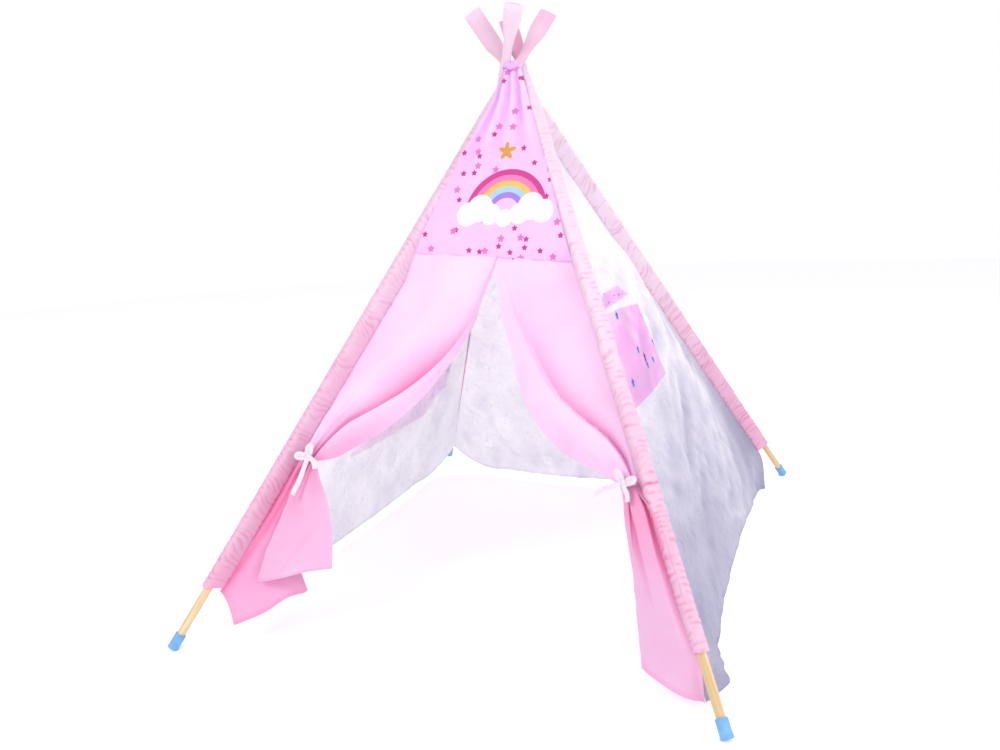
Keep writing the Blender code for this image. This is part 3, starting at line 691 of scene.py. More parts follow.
def pine(corner):
    pole = poles[corner]
    finish = Finish("pole_pine_" + corner, 0.5, 0.0, 0.4)
    place = finish.node("TexCoord").outputs["Object"]
    across = []
    for direction in (pole.side, pole.inward, pole.along):
        part = finish.node("VectorMath", operation="DOT_PRODUCT")
        part.inputs[1].default_value = direction
        finish.link(place, part.inputs[0])
        across.append(part.outputs["Value"])
    across[2] = finish.math("MULTIPLY", across[2], GRAIN_STRETCH)
    joined = finish.node("CombineXYZ")
    for part, socket in zip(across, joined.inputs):
        finish.link(part, socket)
    grain = finish.noise_at(joined.outputs[0], 190, 5)
    broad = finish.noise_at(joined.outputs[0], 42)
    streaks = finish.math("MULTIPLY", grain, broad)
    share = finish.math("MULTIPLY", finish.math("SUBTRACT", streaks, 0.14), 4, clamp=True)
    colour = finish.mix(share, screen(208, 176, 126), screen(240, 218, 178))
    finish.paint(colour, finish.bump(grain, 0.0002, 0.5))
    return finish.material


def plain_plastic(name, pale, deep, roughness):
    """Moulded plastic with a faint mottling and a fine orange peel."""
    finish = Finish(name, roughness)
    colour = finish.mix(finish.object_noise(60, 3), screen(*pale), screen(*deep))
    finish.paint(colour, finish.bump(finish.object_noise(900), 0.0001, 0.25))
    return finish.material


def recolour(name, material):
    nodes[name].data.materials.clear()
    nodes[name].data.materials.append(material)


cap_blue = plain_plastic("cap_blue", (134, 194, 238), (98, 158, 216), 0.42)
ferrule_plastic = plain_plastic("ferrule_plastic", (236, 238, 240), (214, 218, 222), 0.35)
for corner in CORNERS:
    wood = pine(corner)
    for place in ("lower", "middle", "upper"):
        recolour(f"{corner}_pole_{place}", wood)
    for place in ("lower", "upper"):
        recolour(f"{corner}_ferrule_{place}", ferrule_plastic)
    recolour(corner + "_foot_cap", cap_blue)
print("wood, tube and cap finishes given to", 6 * len(CORNERS), "nodes")

# %% [markdown]
# ## Ruched sleeves
#
# Each sleeve is a strip of cloth folded round a pole and sewn into the corner seam, so its section
# is a teardrop: round over the pole outside and drawn to a seam inside. It is longer than the
# pole that it covers, so it lies in many small wrinkles that run across it. The tube is a grid
# whose two side edges are brought together and merged, and the wrinkles are layers of noise
# squeezed along the pole. At the top the sleeve goes flat, and its end is sewn shut.

# %% Sleeves
SLEEVE_BOTTOM_HEIGHT = 0.12
SLEEVE_TOP = 0.157
SEAM_INWARD = 0.03
POLE_ROUND = 0.0108
SLEEVE_HALF_WIDTH = 0.0195
SLEEVE_TOP_HALF_WIDTH = 0.021
OPENING_START = 0.035
OPENING_LENGTH = 0.12
TOP_END_START = 0.143
TOP_TWISTS = {"front_left": 50, "front_right": -18, "back_right": 66, "back_left": -20}
TOP_END_HALF = 0.0022
TOP_OPENINGS = {
    "front_left": (0.03, 0.08), "front_right": (0.02, 0.05),
    "back_right": (0.012, 0.05), "back_left": (0.045, 0.09),
}
END_RISES = {"front_left": 0.02, "front_right": 0.006, "back_right": 0.003, "back_left": 0.003}
CROSS_SEAMS = {"front_right": -1.108}
RUCHE_PITCH = 0.0145
WRINKLES = {"front_left": 0.9, "front_right": 1.0, "back_right": 1.45, "back_left": 1.0}
# Painted light and shade of each sleeve, as shares of its deep colour: a level for its length, a darker one towards its
# bottom, and one for its flat top end; below 0 it is painted lighter
PAINTED_SLEEVE_SHADE = {"front_left": 0.12, "front_right": -0.1, "back_right": -0.08, "back_left": 0.0}
PAINTED_LOW_SLEEVE_SHADE = {"front_left": 0.3, "front_right": 0.22, "back_right": 0.3, "back_left": 0.3}
PAINTED_TOP_SLEEVE_SHADE = {"front_left": 0.22, "front_right": 0.5, "back_right": 0.15, "back_left": -0.04}


def opening(along):
    """0 where the poles cross, growing to 1 where the sleeve has its full section."""
    return ease((abs(along) - OPENING_START) / OPENING_LENGTH)


def sleeve_section(corner, turn, along):
    """A point of the sleeve's outside: turn 0 is the inner seam, and half a turn the outside."""
    if along > 0:
        start, length = TOP_OPENINGS[corner]
        opened = ease((along - start) / length)
        wide = POLE_ROUND + (SLEEVE_TOP_HALF_WIDTH - POLE_ROUND) * opened
        thick = POLE_ROUND + 0.0006 + 0.0012 * ease((along - 0.03) / 0.05)
        shut = ease((along - TOP_END_START) / (SLEEVE_TOP - TOP_END_START))
        thick += (TOP_END_HALF - thick) * shut
        side = wide * math.sin(turn)
        inward = thick * math.copysign(abs(math.cos(turn)) ** 1.2, math.cos(turn))
    else:
        opened = opening(along)
        slim = ease((-along - 0.95) / 0.35)
        wide = POLE_ROUND + (SLEEVE_HALF_WIDTH - POLE_ROUND) * opened - 0.003 * slim
        seam = POLE_ROUND + (SEAM_INWARD - POLE_ROUND) * opened
        point = ease((1 + math.cos(turn)) / 2)
        side = wide * math.sin(turn) * (1 - 0.55 * point * opened)
        outer = POLE_ROUND + 0.0012 + 0.0018 * opened - 0.001 * slim
        inward = seam * point - outer * (1 - point)
    return side, inward


def pucker(corner, turn, along):
    """The ruching, from -1 in a crease to 1 on a fold. Creases run slantwise from the seam."""
    seed = 10.0 * CORNERS.index(corner)
    drift = noise.noise(Vector((math.cos(turn) * 0.7, along / 0.06, seed)))
    phase = along / RUCHE_PITCH + 1.6 * drift + 0.45 * math.cos(turn)
    wave = math.cos(2 * math.pi * phase)
    strewn = noise.noise(Vector((math.sin(turn) * 1.3 + 5, along / 0.022, seed + 2)))
    strength = ease(0.5 + 1.5 * strewn)
    fine = noise.noise(Vector((turn * 0.8, along / 0.006, seed + 7)))
    return wave * strength + 0.5 * fine


def wrinkle(corner, turn, along):
    """How far the ruched cloth stands out. It lies calmer at the crossing and above it."""
    calm = ease((abs(along) - 0.02) / 0.25) * (0.15 if along > 0 else 1)
    return 0.00125 * pucker(corner, turn, along) * WRINKLES[corner] * calm


def make_sleeve(corner):
    pole = poles[corner]
    bottom = pole.at_height(SLEEVE_BOTTOM_HEIGHT)
    twist = math.radians(TOP_TWISTS[corner])

    def where(u, v):
        return 2 * math.pi * u, bottom + (SLEEVE_TOP - bottom) * v

    def place(u, v):
        turn, along = where(u, v)
        side, inward = sleeve_section(corner, turn, along)
        out = wrinkle(corner, turn, along)
        reach = math.hypot(side, inward)
        side += side / reach * out
        inward += inward / reach * out
        turned = twist * ease(along / 0.11)
        side, inward = (
            side * math.cos(turned) - inward * math.sin(turned),
            side * math.sin(turned) + inward * math.cos(turned),
        )
        rise = END_RISES[corner] * (1 + math.cos(turn)) / 2 * ease(1 - v / 0.025)
        return pole.point(side, inward, along + rise)

    # Painted shade: the sleeve's painted level, a painted shadow line along the inner seam, painted shade in the
    # creases of the ruching, and a darker line at the cross seam
    def shade(u, v):
        turn, along = where(u, v)
        if along > 0:
            return PAINTED_TOP_SLEEVE_SHADE[corner]
        low = PAINTED_SLEEVE_SHADE[corner]
        low += (PAINTED_LOW_SLEEVE_SHADE[corner] - low) * ease((-along - 0.45) / 0.8)
        seam = (0.45 if corner.startswith("front") else 0.1) * bump(min(u, 1 - u), 0, 0.025)
        folded = max(-pucker(corner, turn, along), 0) * WRINKLES[corner]
        sewn = 0.6 * bump(along, CROSS_SEAMS[corner], 0.003) if corner in CROSS_SEAMS else 0
        return low + seam + 0.32 * folded + sewn

    name = corner + "_sleeve"
    sleeve = cloth(name + "_cloth", 44, 700, place, (0.1, 1.7), sleeve_cloth, shade, True)
    stand_in(sleeve, name, "sleeve_cloth", pole.body)
    return sleeve


sleeves = {corner: make_sleeve(corner) for corner in CORNERS}
print("sleeves with", len(sleeves["front_left"].data.vertices), "points each")

# %% [markdown]
# ## Walls
#
# The white walls hang between the inner seams of the sleeves. Their hems sag inwards, as the cloth
# isn't stretched at the bottom. Each wall is two halves that meet in the middle, because each half
# goes with its own pole when the teepee folds. Both halves read the same crease pattern, so the
# meeting line doesn't show. Beside its poles the right wall's hem follows places in a table.

# %% Walls
WALLS = {
    "front": ("front_left", "front_right", 0),
    "right": ("front_right", "back_right", 0.078),
    "back": ("back_right", "back_left", 0.235),
    "left": ("back_left", "front_left", 0.078),
}
SAG_POWERS = {"front": 1, "right": 0.55, "back": 0.6, "left": 0.55}
SAG_TOP_HEIGHT = 0.72 * crossing_height
HEM_HEIGHT = 0.021
HEM_LIFTS = {"right": (0.015, 0.0), "back": (0.11, 0.065), "left": (0.065, 0.108)}
HEM_ENDS = {
    "front_right": ((0.0, (0.5574, -0.7, 0.0382)), (0.015, (0.5692, -0.6898, 0.04)),
                    (0.045, (0.5896, -0.6396, 0.05)), (0.1, (0.571, -0.575, 0.0437)),
                    (0.145, (0.5573, -0.53, 0.0383)), (0.19, (0.5463, -0.47, 0.031))),
    "back_right": ((0.0, (0.5572, 0.5705, 0.01)), (0.05, (0.5406, 0.5408, 0.014)),
                   (0.11, (0.5379, 0.4701, 0.022)), (0.17, (0.5341, 0.4009, 0.024))),
}
HEM_END_WIDTH = 0.25
HEM_END_HEIGHT = 0.095
WALL_TOP_HEIGHT = 1.165
SEAM_REACH = 0.003
CAD_EDGE_REACH = 0.0259
CAD_EDGE_TOP_REACH = 0.0115
TIGHT_HEIGHT = 0.74
TIGHT_RISE = 0.2


def seam_spot(corner, side, height):
    """Where a wall is sewn on: beside the inner seam of the sleeve."""
    pole = poles[corner]
    along = pole.at_height(height)
    inward = POLE_ROUND + (SEAM_INWARD - POLE_ROUND) * opening(along)
    return pole.point(side * SEAM_REACH, inward - 0.001, along)


def cad_spot(corner, side, height):
    """Where the CAD model's wall starts, a little beside the pole."""
    pole = poles[corner]
    along = pole.at_height(height)
    opened = min(max((abs(along) - 0.04) / 0.12, 0), 1)
    reach = CAD_EDGE_TOP_REACH + (CAD_EDGE_REACH - CAD_EDGE_TOP_REACH) * opened
    return pole.point(side * reach, 0, along)


def wall_out(wall):
    """The level direction out of a wall."""
    first, second, _ = WALLS[wall]
    between = poles[second].point(0, 0, -1) - poles[first].point(0, 0, -1)
    between.z = 0
    return between.cross(Vector((0, 0, 1))).normalized()


WALL_OUTS = {wall: wall_out(wall) for wall in WALLS}
WALL_BLEND = 0.28


def wall_base(wall, share, height):
    """A point of the calm wall, and the direction out of it."""
    first, second, sag = WALLS[wall]
    start, end = cad_spot(first, 1, height), cad_spot(second, -1, height)
    out = WALL_OUTS[wall]
    rise = max(0, 1 - height / SAG_TOP_HEIGHT) ** 1.6
    across = max(0, 4 * share * (1 - share)) ** SAG_POWERS[wall]
    if wall == "back":
        across *= ease(share / 0.05)
    spot = start.lerp(end, share) - out * (sag * rise * across)
    tight = ease((height - TIGHT_HEIGHT) / TIGHT_RISE)
    near_first = (1 - ease(share / WALL_BLEND)) * (1 - tight) + (1 - share) * tight
    near_second = (1 - ease((1 - share) / WALL_BLEND)) * (1 - tight) + share * tight
    spot += (seam_spot(first, 1, height) - start) * near_first
    spot += (seam_spot(second, -1, height) - end) * near_second
    normal = (end - start).cross(poles[first].along).normalized()
    return spot, normal if normal.dot(out) > 0 else -normal


def wall_crease(wall, share, height):
    """The soft fans of the thin wall cloth, and the crumples all over it."""
    seed = 40.0 + 7 * list(WALLS).index(wall)
    x = (share - 0.5) * 1.5 * (1 - height / 1.3)
    lean = x * 0.8
    bend = 0.05 * noise.noise(Vector((x * 4, height * 4, seed + 20)))
    large = crease((x + 0.3 * lean) / 0.22, (height - lean) / 0.42, seed)
    right = wall == "right"
    wide = 2.2 if right else 1.3
    medium = crease((x + bend) / (0.075 * wide), (height - x * 0.5 + bend) / 0.1, seed + 3)
    small = crease((x - bend) / (0.034 * wide), (height + x * 0.3 + bend) / 0.045, seed + 5)
    tiny = crease((x + bend) / (0.016 * wide), (height - bend) / 0.018, seed + 9)
    patchy = 0.35 + 0.65 * ease(0.5 + 1.6 * noise.noise(Vector((x * 5, height * 4, seed + 31))))
    edge = ease(min(share, 1 - share) / 0.06)
    deep = (0.6 + 0.4 * ease(1 - height / 0.9)) * (1 if right else 0.5)
    crumpled = (0.0019 * medium + 0.0009 * small + 0.00025 * tiny) * patchy
    if right:
        crumpled *= 1 + 1.1 * bump(share, 0.6, 0.25) * bump(height, 0.38, 0.2)
    return 0.0014 * large * deep * edge, crumpled * deep * edge


def hem_height(wall, share):
    """The hem is drawn up a little towards the sleeves' ends."""
    at_first, at_second = HEM_LIFTS[wall]
    width, middle = (0.3, 0.013) if wall == "right" else (0.2, 0)
    near_first, near_second = 1 - ease(share / width), 1 - ease((1 - share) / width)
    return HEM_HEIGHT + middle + at_first * near_first + at_second * near_second


def hem_pull(wall, share):
    """How far the right wall's hem hangs away from the calm wall beside its two poles. The table
    has shares of the wall's width, counted from the pole, and places of the hem."""
    if wall != "right":
        return Vector((0, 0, 0))
    first, second, _ = WALLS[wall]
    corner, near = (first, share) if share < 0.5 else (second, 1 - share)
    pulls = []
    for at, spot in HEM_ENDS[corner]:
        place = at if share < 0.5 else 1 - at
        calm, _ = wall_base(wall, place, hem_height(wall, place))
        pulls.append((at, Vector(spot) - calm))
    pulls.append((HEM_END_WIDTH, Vector((0, 0, 0))))
    for (a, low), (b, high) in zip(pulls, pulls[1:]):
        if near <= b:
            return low.lerp(high, ease((near - a) / (b - a)))
    return pulls[-1][1]


def wall_point(wall, share, height, off=0.0):
    spot, normal = wall_base(wall, share, height)
    above = (height - hem_height(wall, share)) / HEM_END_HEIGHT
    if above < 1:
        spot += hem_pull(wall, share) * (1 - ease(above)) * (1 - max(above, 0))
    return spot + normal * (sum(wall_crease(wall, share, height)) + off)


def half_wall(name, wall, half):
    pole = poles[WALLS[wall][half]]

    def share_of(u):
        share = (u**1.35) / 2
        return 1 - share if half else share

    def height_of(u, v):
        hem = hem_height(wall, share_of(u))
        return hem + (WALL_TOP_HEIGHT - hem) * v

    def place(u, v):
        return wall_point(wall, share_of(u), height_of(u, v))

    # Painted shade: the right wall is painted darker low down, most near its poles, the other walls only a little; the
    # hem band is a little darker; crease valleys are painted darker and their ridges lighter, as painted highlights
    def shade(u, v):
        share, height = share_of(u), height_of(u, v)
        middle = ease(share) * (1 - ease((share - 0.8) / 0.15))
        low = (0.8 - 0.25 * middle if wall == "right" else 0.1) * ease(1.02 - height / 0.8)
        hem = 0.1 * (v < 0.01)
        fan, crumpled = wall_crease(wall, share, height)
        return 0.02 + low + hem - 12 * fan - 70 * crumpled

    sheet = cloth(name + "_cloth", 96, 190, place, (0.75, 1.42), wall_cloth, shade)
    stand_in(sheet, name, "wall_cloth", pole.body)
    return sheet


HALF_WALLS = (
    ("right_wall_front", "right", 0),
    ("right_wall_back", "right", 1),
    ("back_wall_right", "back", 0),
    ("back_wall_left", "back", 1),
    ("left_wall_back", "left", 0),
    ("left_wall_front", "left", 1),
)
walls = {name: half_wall(name, wall, half) for name, wall, half in HALF_WALLS}
print("half walls:", ", ".join(walls))

# %% [markdown]
# ## The printed panel
#
# Above the door the front panel lies over the sleeves' fronts and is drawn together at the top, so
# folds fan down from there and fade out towards its lower seam. Its two edges are read off the
# photograph as places round each front pole, and the picture's UV map is laid flat over the front.

# %% Printed panel
PRINT_TOP_HEIGHT = 1.243
SEAM_LEFT_HEIGHT = 0.828
SEAM_RIGHT_HEIGHT = 0.802
PRINT_EDGES = {
    "front_left": (
        (0.8, (0.006, 0.027)), (0.83, (0.012, 0.012)), (0.86, (0.016, 0.004)),
        (0.95, (0.015, -0.005)), (1.04, (0.0125, -0.01)), (1.1, (0.0125, -0.008)),
        (1.158, (0.011, -0.01)), (1.2, (-0.002, -0.0165)), (1.245, (-0.023, -0.021)),
    ),
    "front_right": (
        (0.8, (-0.012, 0.02)), (0.826, (-0.019, 0.004)), (0.92, (-0.018, -0.003)),
        (1.01, (-0.016, -0.009)), (1.094, (-0.016, -0.0135)), (1.2, (-0.011, -0.0145)),
        (1.245, (-0.008, -0.014)),
    ),
}
FRONT_DEPTH = 0.7525
FRONT_OUT = Vector((0, -crossing_height, FRONT_DEPTH)).normalized()
CLEARED_FROM_HEIGHT = 1.02
CLEARING_STEPS = 60
CLEARING_STEP = 0.0006
FAN_LOW_HEIGHT = 0.86


def front_edge(corner, height):
    """The panel's edge: the table has its places sideways and inwards of the pole."""
    pole = poles[corner]
    place = [table_at([(at, spot[n]) for at, spot in PRINT_EDGES[corner]], height) for n in (0, 1)]
    return pole.point(*place, pole.at_height(height))


def seam_height(share):
    return SEAM_LEFT_HEIGHT + (SEAM_RIGHT_HEIGHT - SEAM_LEFT_HEIGHT) * share


def fan_fold(share, height):
    """The folds that fan out from the gathered top of the panel."""
    high = (height - FAN_LOW_HEIGHT) / (PRINT_TOP_HEIGHT - FAN_LOW_HEIGHT)
    wave = math.cos(2 * math.pi * (3.1 * share + 0.12)) + 0.35 * math.sin(15 * share + 1)
    held = ease((height - seam_height(share)) / 0.03)
    tension = 0.0011 * crease(share * 4, height / 0.3, 71.0) * held
    small = 0.0007 * crease(share * 9 + height * 6, height / 0.09, 72.0) * held
    return 0.0058 * wave * ease(high) * (1 - 0.45 * ease((high - 0.75) / 0.25)) + tension + small


def clear_of_sleeve(spot, corner):
    """Leads a spot out to the front until it lies on the sleeve and not in it."""
    pole = poles[corner]
    for _ in range(CLEARING_STEPS):
        arm = spot - pole.origin
        opened = opening(arm.dot(pole.along))
        wide = 0.0136 + 0.0068 * opened
        thick = 0.0138 + 0.0046 * opened
        if (arm.dot(pole.side) / wide) ** 2 + (arm.dot(pole.inward) / thick) ** 2 >= 1:
            break
        spot = spot + FRONT_OUT * CLEARING_STEP
    return spot


def print_point(share, height):
    left, right = front_edge("front_left", height), front_edge("front_right", height)
    middle = 4 * share * (1 - share)
    bow = 0.012 * ease((height - 0.93) / 0.2) * min(1, 2.2 * middle)
    fold = fan_fold(share, height) * (0.35 + 0.65 * middle)
    spot = left.lerp(right, share) + FRONT_OUT * (bow + fold)
    if height > CLEARED_FROM_HEIGHT:
        for corner in ("front_left", "front_right"):
            spot = clear_of_sleeve(spot, corner)
    return spot


def half_print(name, half):
    pole = poles[WALLS["front"][half]]

    def where(u, v):
        share = 0.5 + u / 2 if half else u / 2
        low = seam_height(share)
        return share, low + (PRINT_TOP_HEIGHT - low) * v

    def place(u, v):
        return print_point(*where(u, v))

    # Painted shade: near the top the valleys of the fan folds are painted darker and their ridges lighter, as painted
    # highlights, and the top is a little darker; the lower seam is a darker line
    def shade(u, v):
        share, height = where(u, v)
        high = ease((height - 0.95) / 0.2)
        seam = 0.35 * (v < 0.006)
        return 0.2 - 85 * fan_fold(share, height) * high + 0.1 * high + seam

    sheet = cloth(name + "_cloth", 48, 110, place, (1, 1), print_cloth, shade)
    weave = sheet.data.uv_layers["weave"]
    for loop in sheet.data.loops:
        spot = sheet.data.vertices[loop.vertex_index].co
        weave.data[loop.index].uv = (spot.x, spot.z)
    stand_in(sheet, name, "print_cloth", pole.body)
    return sheet


HALF_PRINTS = (("front_print_left", 0), ("front_print_right", 1))
prints = {name: half_print(name, half) for name, half in HALF_PRINTS}
print("printed panel from", SEAM_RIGHT_HEIGHT, "to", PRINT_TOP_HEIGHT, "m")

# %% [markdown]
# ## Collar
#
# Where the poles cross, the panels end in a short collar of cloth. Round the sides and the back it is
# the tops of the walls, which run on up between the sleeves: one ring of cloth, wrapped in four flat
# stretches. At the front a folded cuff in the print's colour lies over it.

# %% Collar
COLLAR_LOW = 1.15
COLLAR_HIGH = 1.24
COLLAR_SLOPE_HIGH = 1.232
COLLAR_LEAST_REACH = 0.018
CUFF_DEPTH = 0.021


def collar_spot(turn_share, v):
    """A point of the collar. The ring starts at the front left pole and goes round by the right."""
    turn_share %= 1.0
    index = min(int(turn_share * 4), 3)
    first, second, _ = list(WALLS.values())[index]
    height = COLLAR_LOW + (COLLAR_HIGH - COLLAR_LOW) * v
    limit = min(height, COLLAR_SLOPE_HIGH)
    spot = cad_spot(first, 1, limit).lerp(cad_spot(second, -1, limit), turn_share * 4 - index)
    spot.z = 0
    pleat = 0.0016 * math.sin(2 * math.pi * 11 * turn_share)
    spot = spot.normalized() * (max(spot.length, COLLAR_LEAST_REACH) + pleat)
    spot.z = height
    return spot


ring = cloth("collar_ring", 96, 26, collar_spot, (0.4, 0.1), wall_cloth, None, True)


def cuff_place(u, v):
    """The print's top, turned over to the outside, with a dipping lower edge."""
    share = 0.06 + 0.88 * u
    depth = CUFF_DEPTH * (0.8 + 0.35 * bump(u, 0.55, 0.25))
    spot = print_point(share, PRINT_TOP_HEIGHT + 0.002 - depth * (1 - v))
    return spot + FRONT_OUT * (0.0022 + 0.0022 * math.sin(math.pi * min(1, 0.25 + v)))


# Painted shade: the cuff is painted darker along its lower edge and lighter across its middle, on a level halfway to
# its deep colour
def cuff_shade(u, v):
    return 0.45 + 0.5 * (v < 0.1) - 0.25 * bump(v, 0.6, 0.25)


cuff = cloth("collar_cuff", 40, 16, cuff_place, (0.06, 0.02), cuff_cloth, cuff_shade)
collar = join_pieces("collar_cloth", [ring, cuff], wall_cloth, cuff_cloth)
stand_in(collar, "collar", "collar_cloth", "collar")
print("collar from", COLLAR_LOW, "to", COLLAR_HIGH, "m")

# %% [markdown]
# ## Curtains
#
# Two curtains hang from the seam under the print. Each is drawn aside and tied to its pole, so its
# folds run from the middle of the seam down to the tie. The free edge of the left one is turned
# under and shows as a band below a roll, and that of the right one bulges out past a deep valley.
# The sheet fills four known edges, as a patch does: the seam, the sleeve, the free edge and the tie.

# %% Ties' places
TIE_HEIGHTS = {"left": 0.407, "right": 0.388}
DOOR_SIDES = {"left": ("front_left", 1), "right": ("front_right", -1)}
WAIST_SPOTS = {"left": (0.04, 0.036), "right": (-0.031, 0.028)}
WAIST_HALF_LENGTH = 0.0135
WAIST_HALF_THICKNESS = 0.0085
WAIST_FOLDS = 3.2
NEAR_SHARE = 0.14


def waist_point(side, u):
    """Across the cloth at the tie: from the sleeve to the bundle, then folded to and fro in it."""
    corner, sign = DOOR_SIDES[side]
    pole = poles[corner]
    along = pole.at_height(TIE_HEIGHTS[side])
    t = max(u - NEAR_SHARE, 0) / (1 - NEAR_SHARE)
    across = WAIST_HALF_LENGTH * (2 * t - 1)
    over = WAIST_HALF_THICKNESS * 0.85 * math.sin(2 * math.pi * WAIST_FOLDS * t)
    over *= math.sqrt(max(1 - (2 * t - 1) ** 2, 0.05))
    waist = Vector(WAIST_SPOTS[side])
    way = waist.normalized()
    side_at = waist.x + way.x * across - way.y * over
    inward_at = waist.y + way.y * across + way.x * over * sign
    spot = pole.point(side_at, inward_at, along)
    if u >= NEAR_SHARE:
        return spot
    return sleeve_edge(side, TIE_HEIGHTS[side]).lerp(spot, ease(u / NEAR_SHARE))


def sleeve_edge(side, height):
    """Where the curtain comes out from beside the sleeve."""
    pole = poles[DOOR_SIDES[side][0]]
    low = ease((0.83 - height) / 0.06)
    if side == "left":
        place = (0.016 - 0.01 * low, 0.008 + 0.02 * low)
    else:
        place = (-0.019 + 0.0125 * low, 0.004 + 0.0195 * low)
    return pole.point(*place, pole.at_height(height))


def front_place(x, z, off):
    """A place over the front, given as seen from in front and its depth off the poles' plane."""
    return Vector((x, FRONT_DEPTH * (z / crossing_height - 1), z)) + FRONT_OUT * off


def patch_of_four(u, v, low, high, near, far, near_power, far_power):
    """A point of a sheet held by four edges. low(u) and high(u) are at v 0 and 1, near(v) and
    far(v) at u 0 and 1."""
    spot = low(u).lerp(high(u), v)
    pull_near = near(v) - low(0).lerp(high(0), v)
    pull_far = far(v) - low(1).lerp(high(1), v)
    return spot + pull_near * (1 - u) ** near_power + pull_far * u**far_power


# %% Curtains
LEFT_ROLL = ((0.012, 0.792), (0.0, 0.72), (-0.012, 0.672), (-0.043, 0.624), (-0.08, 0.586),
             (-0.135, 0.543), (-0.205, 0.503), (-0.272, 0.468), (-0.322, 0.435))
LEFT_BAND = ((0.012, 0.792), (0.0, 0.72), (-0.012, 0.671), (-0.05, 0.6), (-0.11, 0.522),
             (-0.182, 0.461), (-0.25, 0.422), (-0.3, 0.396), (-0.335, 0.392))
RIGHT_FREE = ((0.02, 0.79), (0.056, 0.694), (0.09, 0.623), (0.12, 0.556), (0.155, 0.5),
              (0.214, 0.444), (0.272, 0.414), (0.326, 0.394), (0.352, 0.386))
CURTAIN_OFF = -0.012
ROLL_SHARE = 0.86
GATHER_START = 0.86
RIGHT_VALLEY_SHARES = ((0, 0.86), (0.25, 0.753), (0.5, 0.616), (0.75, 0.344), (1, 0.2))


def curtain_seam(side, u):
    """Along the seam under the print, from the sleeve to the middle of the door."""
    share = 0.56 * u if side == "left" else 1 - 0.47 * u
    return print_point(share, seam_height(share) + 0.004) - FRONT_OUT * 0.0013


def starting_at(spot, path, v):
    """The path, but led over to start at the spot."""
    return path(v) + (spot - path(0)) * (1 - ease(v / 0.12))


def front_line(table, off, share):
    """A smooth line over the front, through places seen from in front."""
    return smooth_path([front_place(x, z, off) for x, z in table], share)


def curtain_sheet(side, free, u, v):
    """A point of the calm curtain, between its seam, the sleeve, its free edge and the tie."""
    top = seam_height(0 if side == "left" else 1)

    def down(w):
        return sleeve_edge(side, top + (TIE_HEIGHTS[side] - top) * w)

    def near(w):
        return starting_at(curtain_seam(side, 0), down, w)

    def far(w):
        return starting_at(curtain_seam(side, 1), free, w)

    def low(s):
        return curtain_seam(side, s)

    def high(s):
        return near(1).lerp(far(1), s)

    return patch_of_four(u, v, low, high, near, far, 1, 1)


def left_curtain_point(u, v):
    def free(w):
        return front_line(LEFT_ROLL, CURTAIN_OFF, w)

    def turned(w):
        return front_line(LEFT_BAND, CURTAIN_OFF - 0.016, w)

    if u > ROLL_SHARE:
        t = (u - ROLL_SHARE) / (1 - ROLL_SHARE)
        corner_spot = curtain_seam("left", 1)
        band = starting_at(corner_spot - FRONT_OUT * 0.002, turned, v)
        spot = starting_at(corner_spot, free, v).lerp(band, t)
        lip = 0.004 * ease(t / 0.12) * (1 - t) - 0.019 * (1 - ease(t / 0.12)) * ease(v / 0.25)
        spot += FRONT_OUT * (lip + 0.004 * ease(v / 0.3) * (1 - t))
    else:
        t = u / ROLL_SHARE
        spot = curtain_sheet("left", free, t, v)
        spread = ease(v / 0.25) * (1 - 0.5 * ease((v - 0.8) / 0.2))
        belly = 0.010 * math.sin(math.pi * t) * math.sin(math.pi * v)
        slope = -0.019 * t**3.5 * spread
        ridge = 0.006 * bump(t + 0.55 * v, 0.72, 0.16) * math.sin(math.pi * min(v * 1.3, 1))
        pleats = 0.004 * math.sin(2 * math.pi * 3 * t) * ease((v - 0.6) / 0.3) * ease((1 - t) / 0.3)
        small = 0.0009 * crease(t * 3 + v, v * 5 - t * 3, 81.0)
        spot += FRONT_OUT * (belly + slope + ridge + pleats + small)
    return spot.lerp(waist_point("left", u), ease((v - GATHER_START) / (1 - GATHER_START)))


# Painted shade: the turned-under band grows darker towards its lower edge and the tie; above the roll the valley is
# painted deep, a diagonal ridge lighter as a painted highlight, with a painted shadow line beside the sleeve and
# painted shade in the gather at the tie
def left_curtain_shade(u, v):
    t = u / ROLL_SHARE
    tied = ease((v - 0.9) / 0.1)
    if t > 1:
        low = (u - ROLL_SHARE) / (1 - ROLL_SHARE)
        return 0.04 + 0.42 * ease(low) * ease((v - 0.35) / 0.5) + 0.3 * tied
    grown = ease((v - 0.12) / 0.5)
    deep = 0.62 * t**7 * grown + 0.26 * t**2 * grown
    light = -0.1 * bump(t + 0.55 * v, 0.72, 0.2)
    return 0.08 + deep + light + 0.9 * bump(u, 0, 0.006) + 0.45 * tied


def right_curtain_point(u, v):
    def free(w):
        return front_line(RIGHT_FREE, CURTAIN_OFF - 0.004, w)

    spot = curtain_sheet("right", free, u, v)
    middle = table_at(RIGHT_VALLEY_SHARES, v)
    spread = ease(v / 0.2) * (1 - 0.45 * ease((v - 0.8) / 0.2))
    slope = -0.020 * min(u / middle, 1) ** 2.5 * spread
    lip = (0.026 * ease((u - middle) / 0.05) - 0.010 * ease((u - middle) / (1 - middle))) * spread
    small = 0.0009 * crease(u * 3 + v, v * 5 + u * 3, 91.0)
    cross = 0.0022 * crease(u * 2.2 + 0.4, v * 6.0 - u * 2, 92.0) * ease((u - middle) / 0.2)
    spot += FRONT_OUT * (slope + lip + small + cross)
    return spot.lerp(waist_point("right", u), ease((v - GATHER_START) / (1 - GATHER_START)))


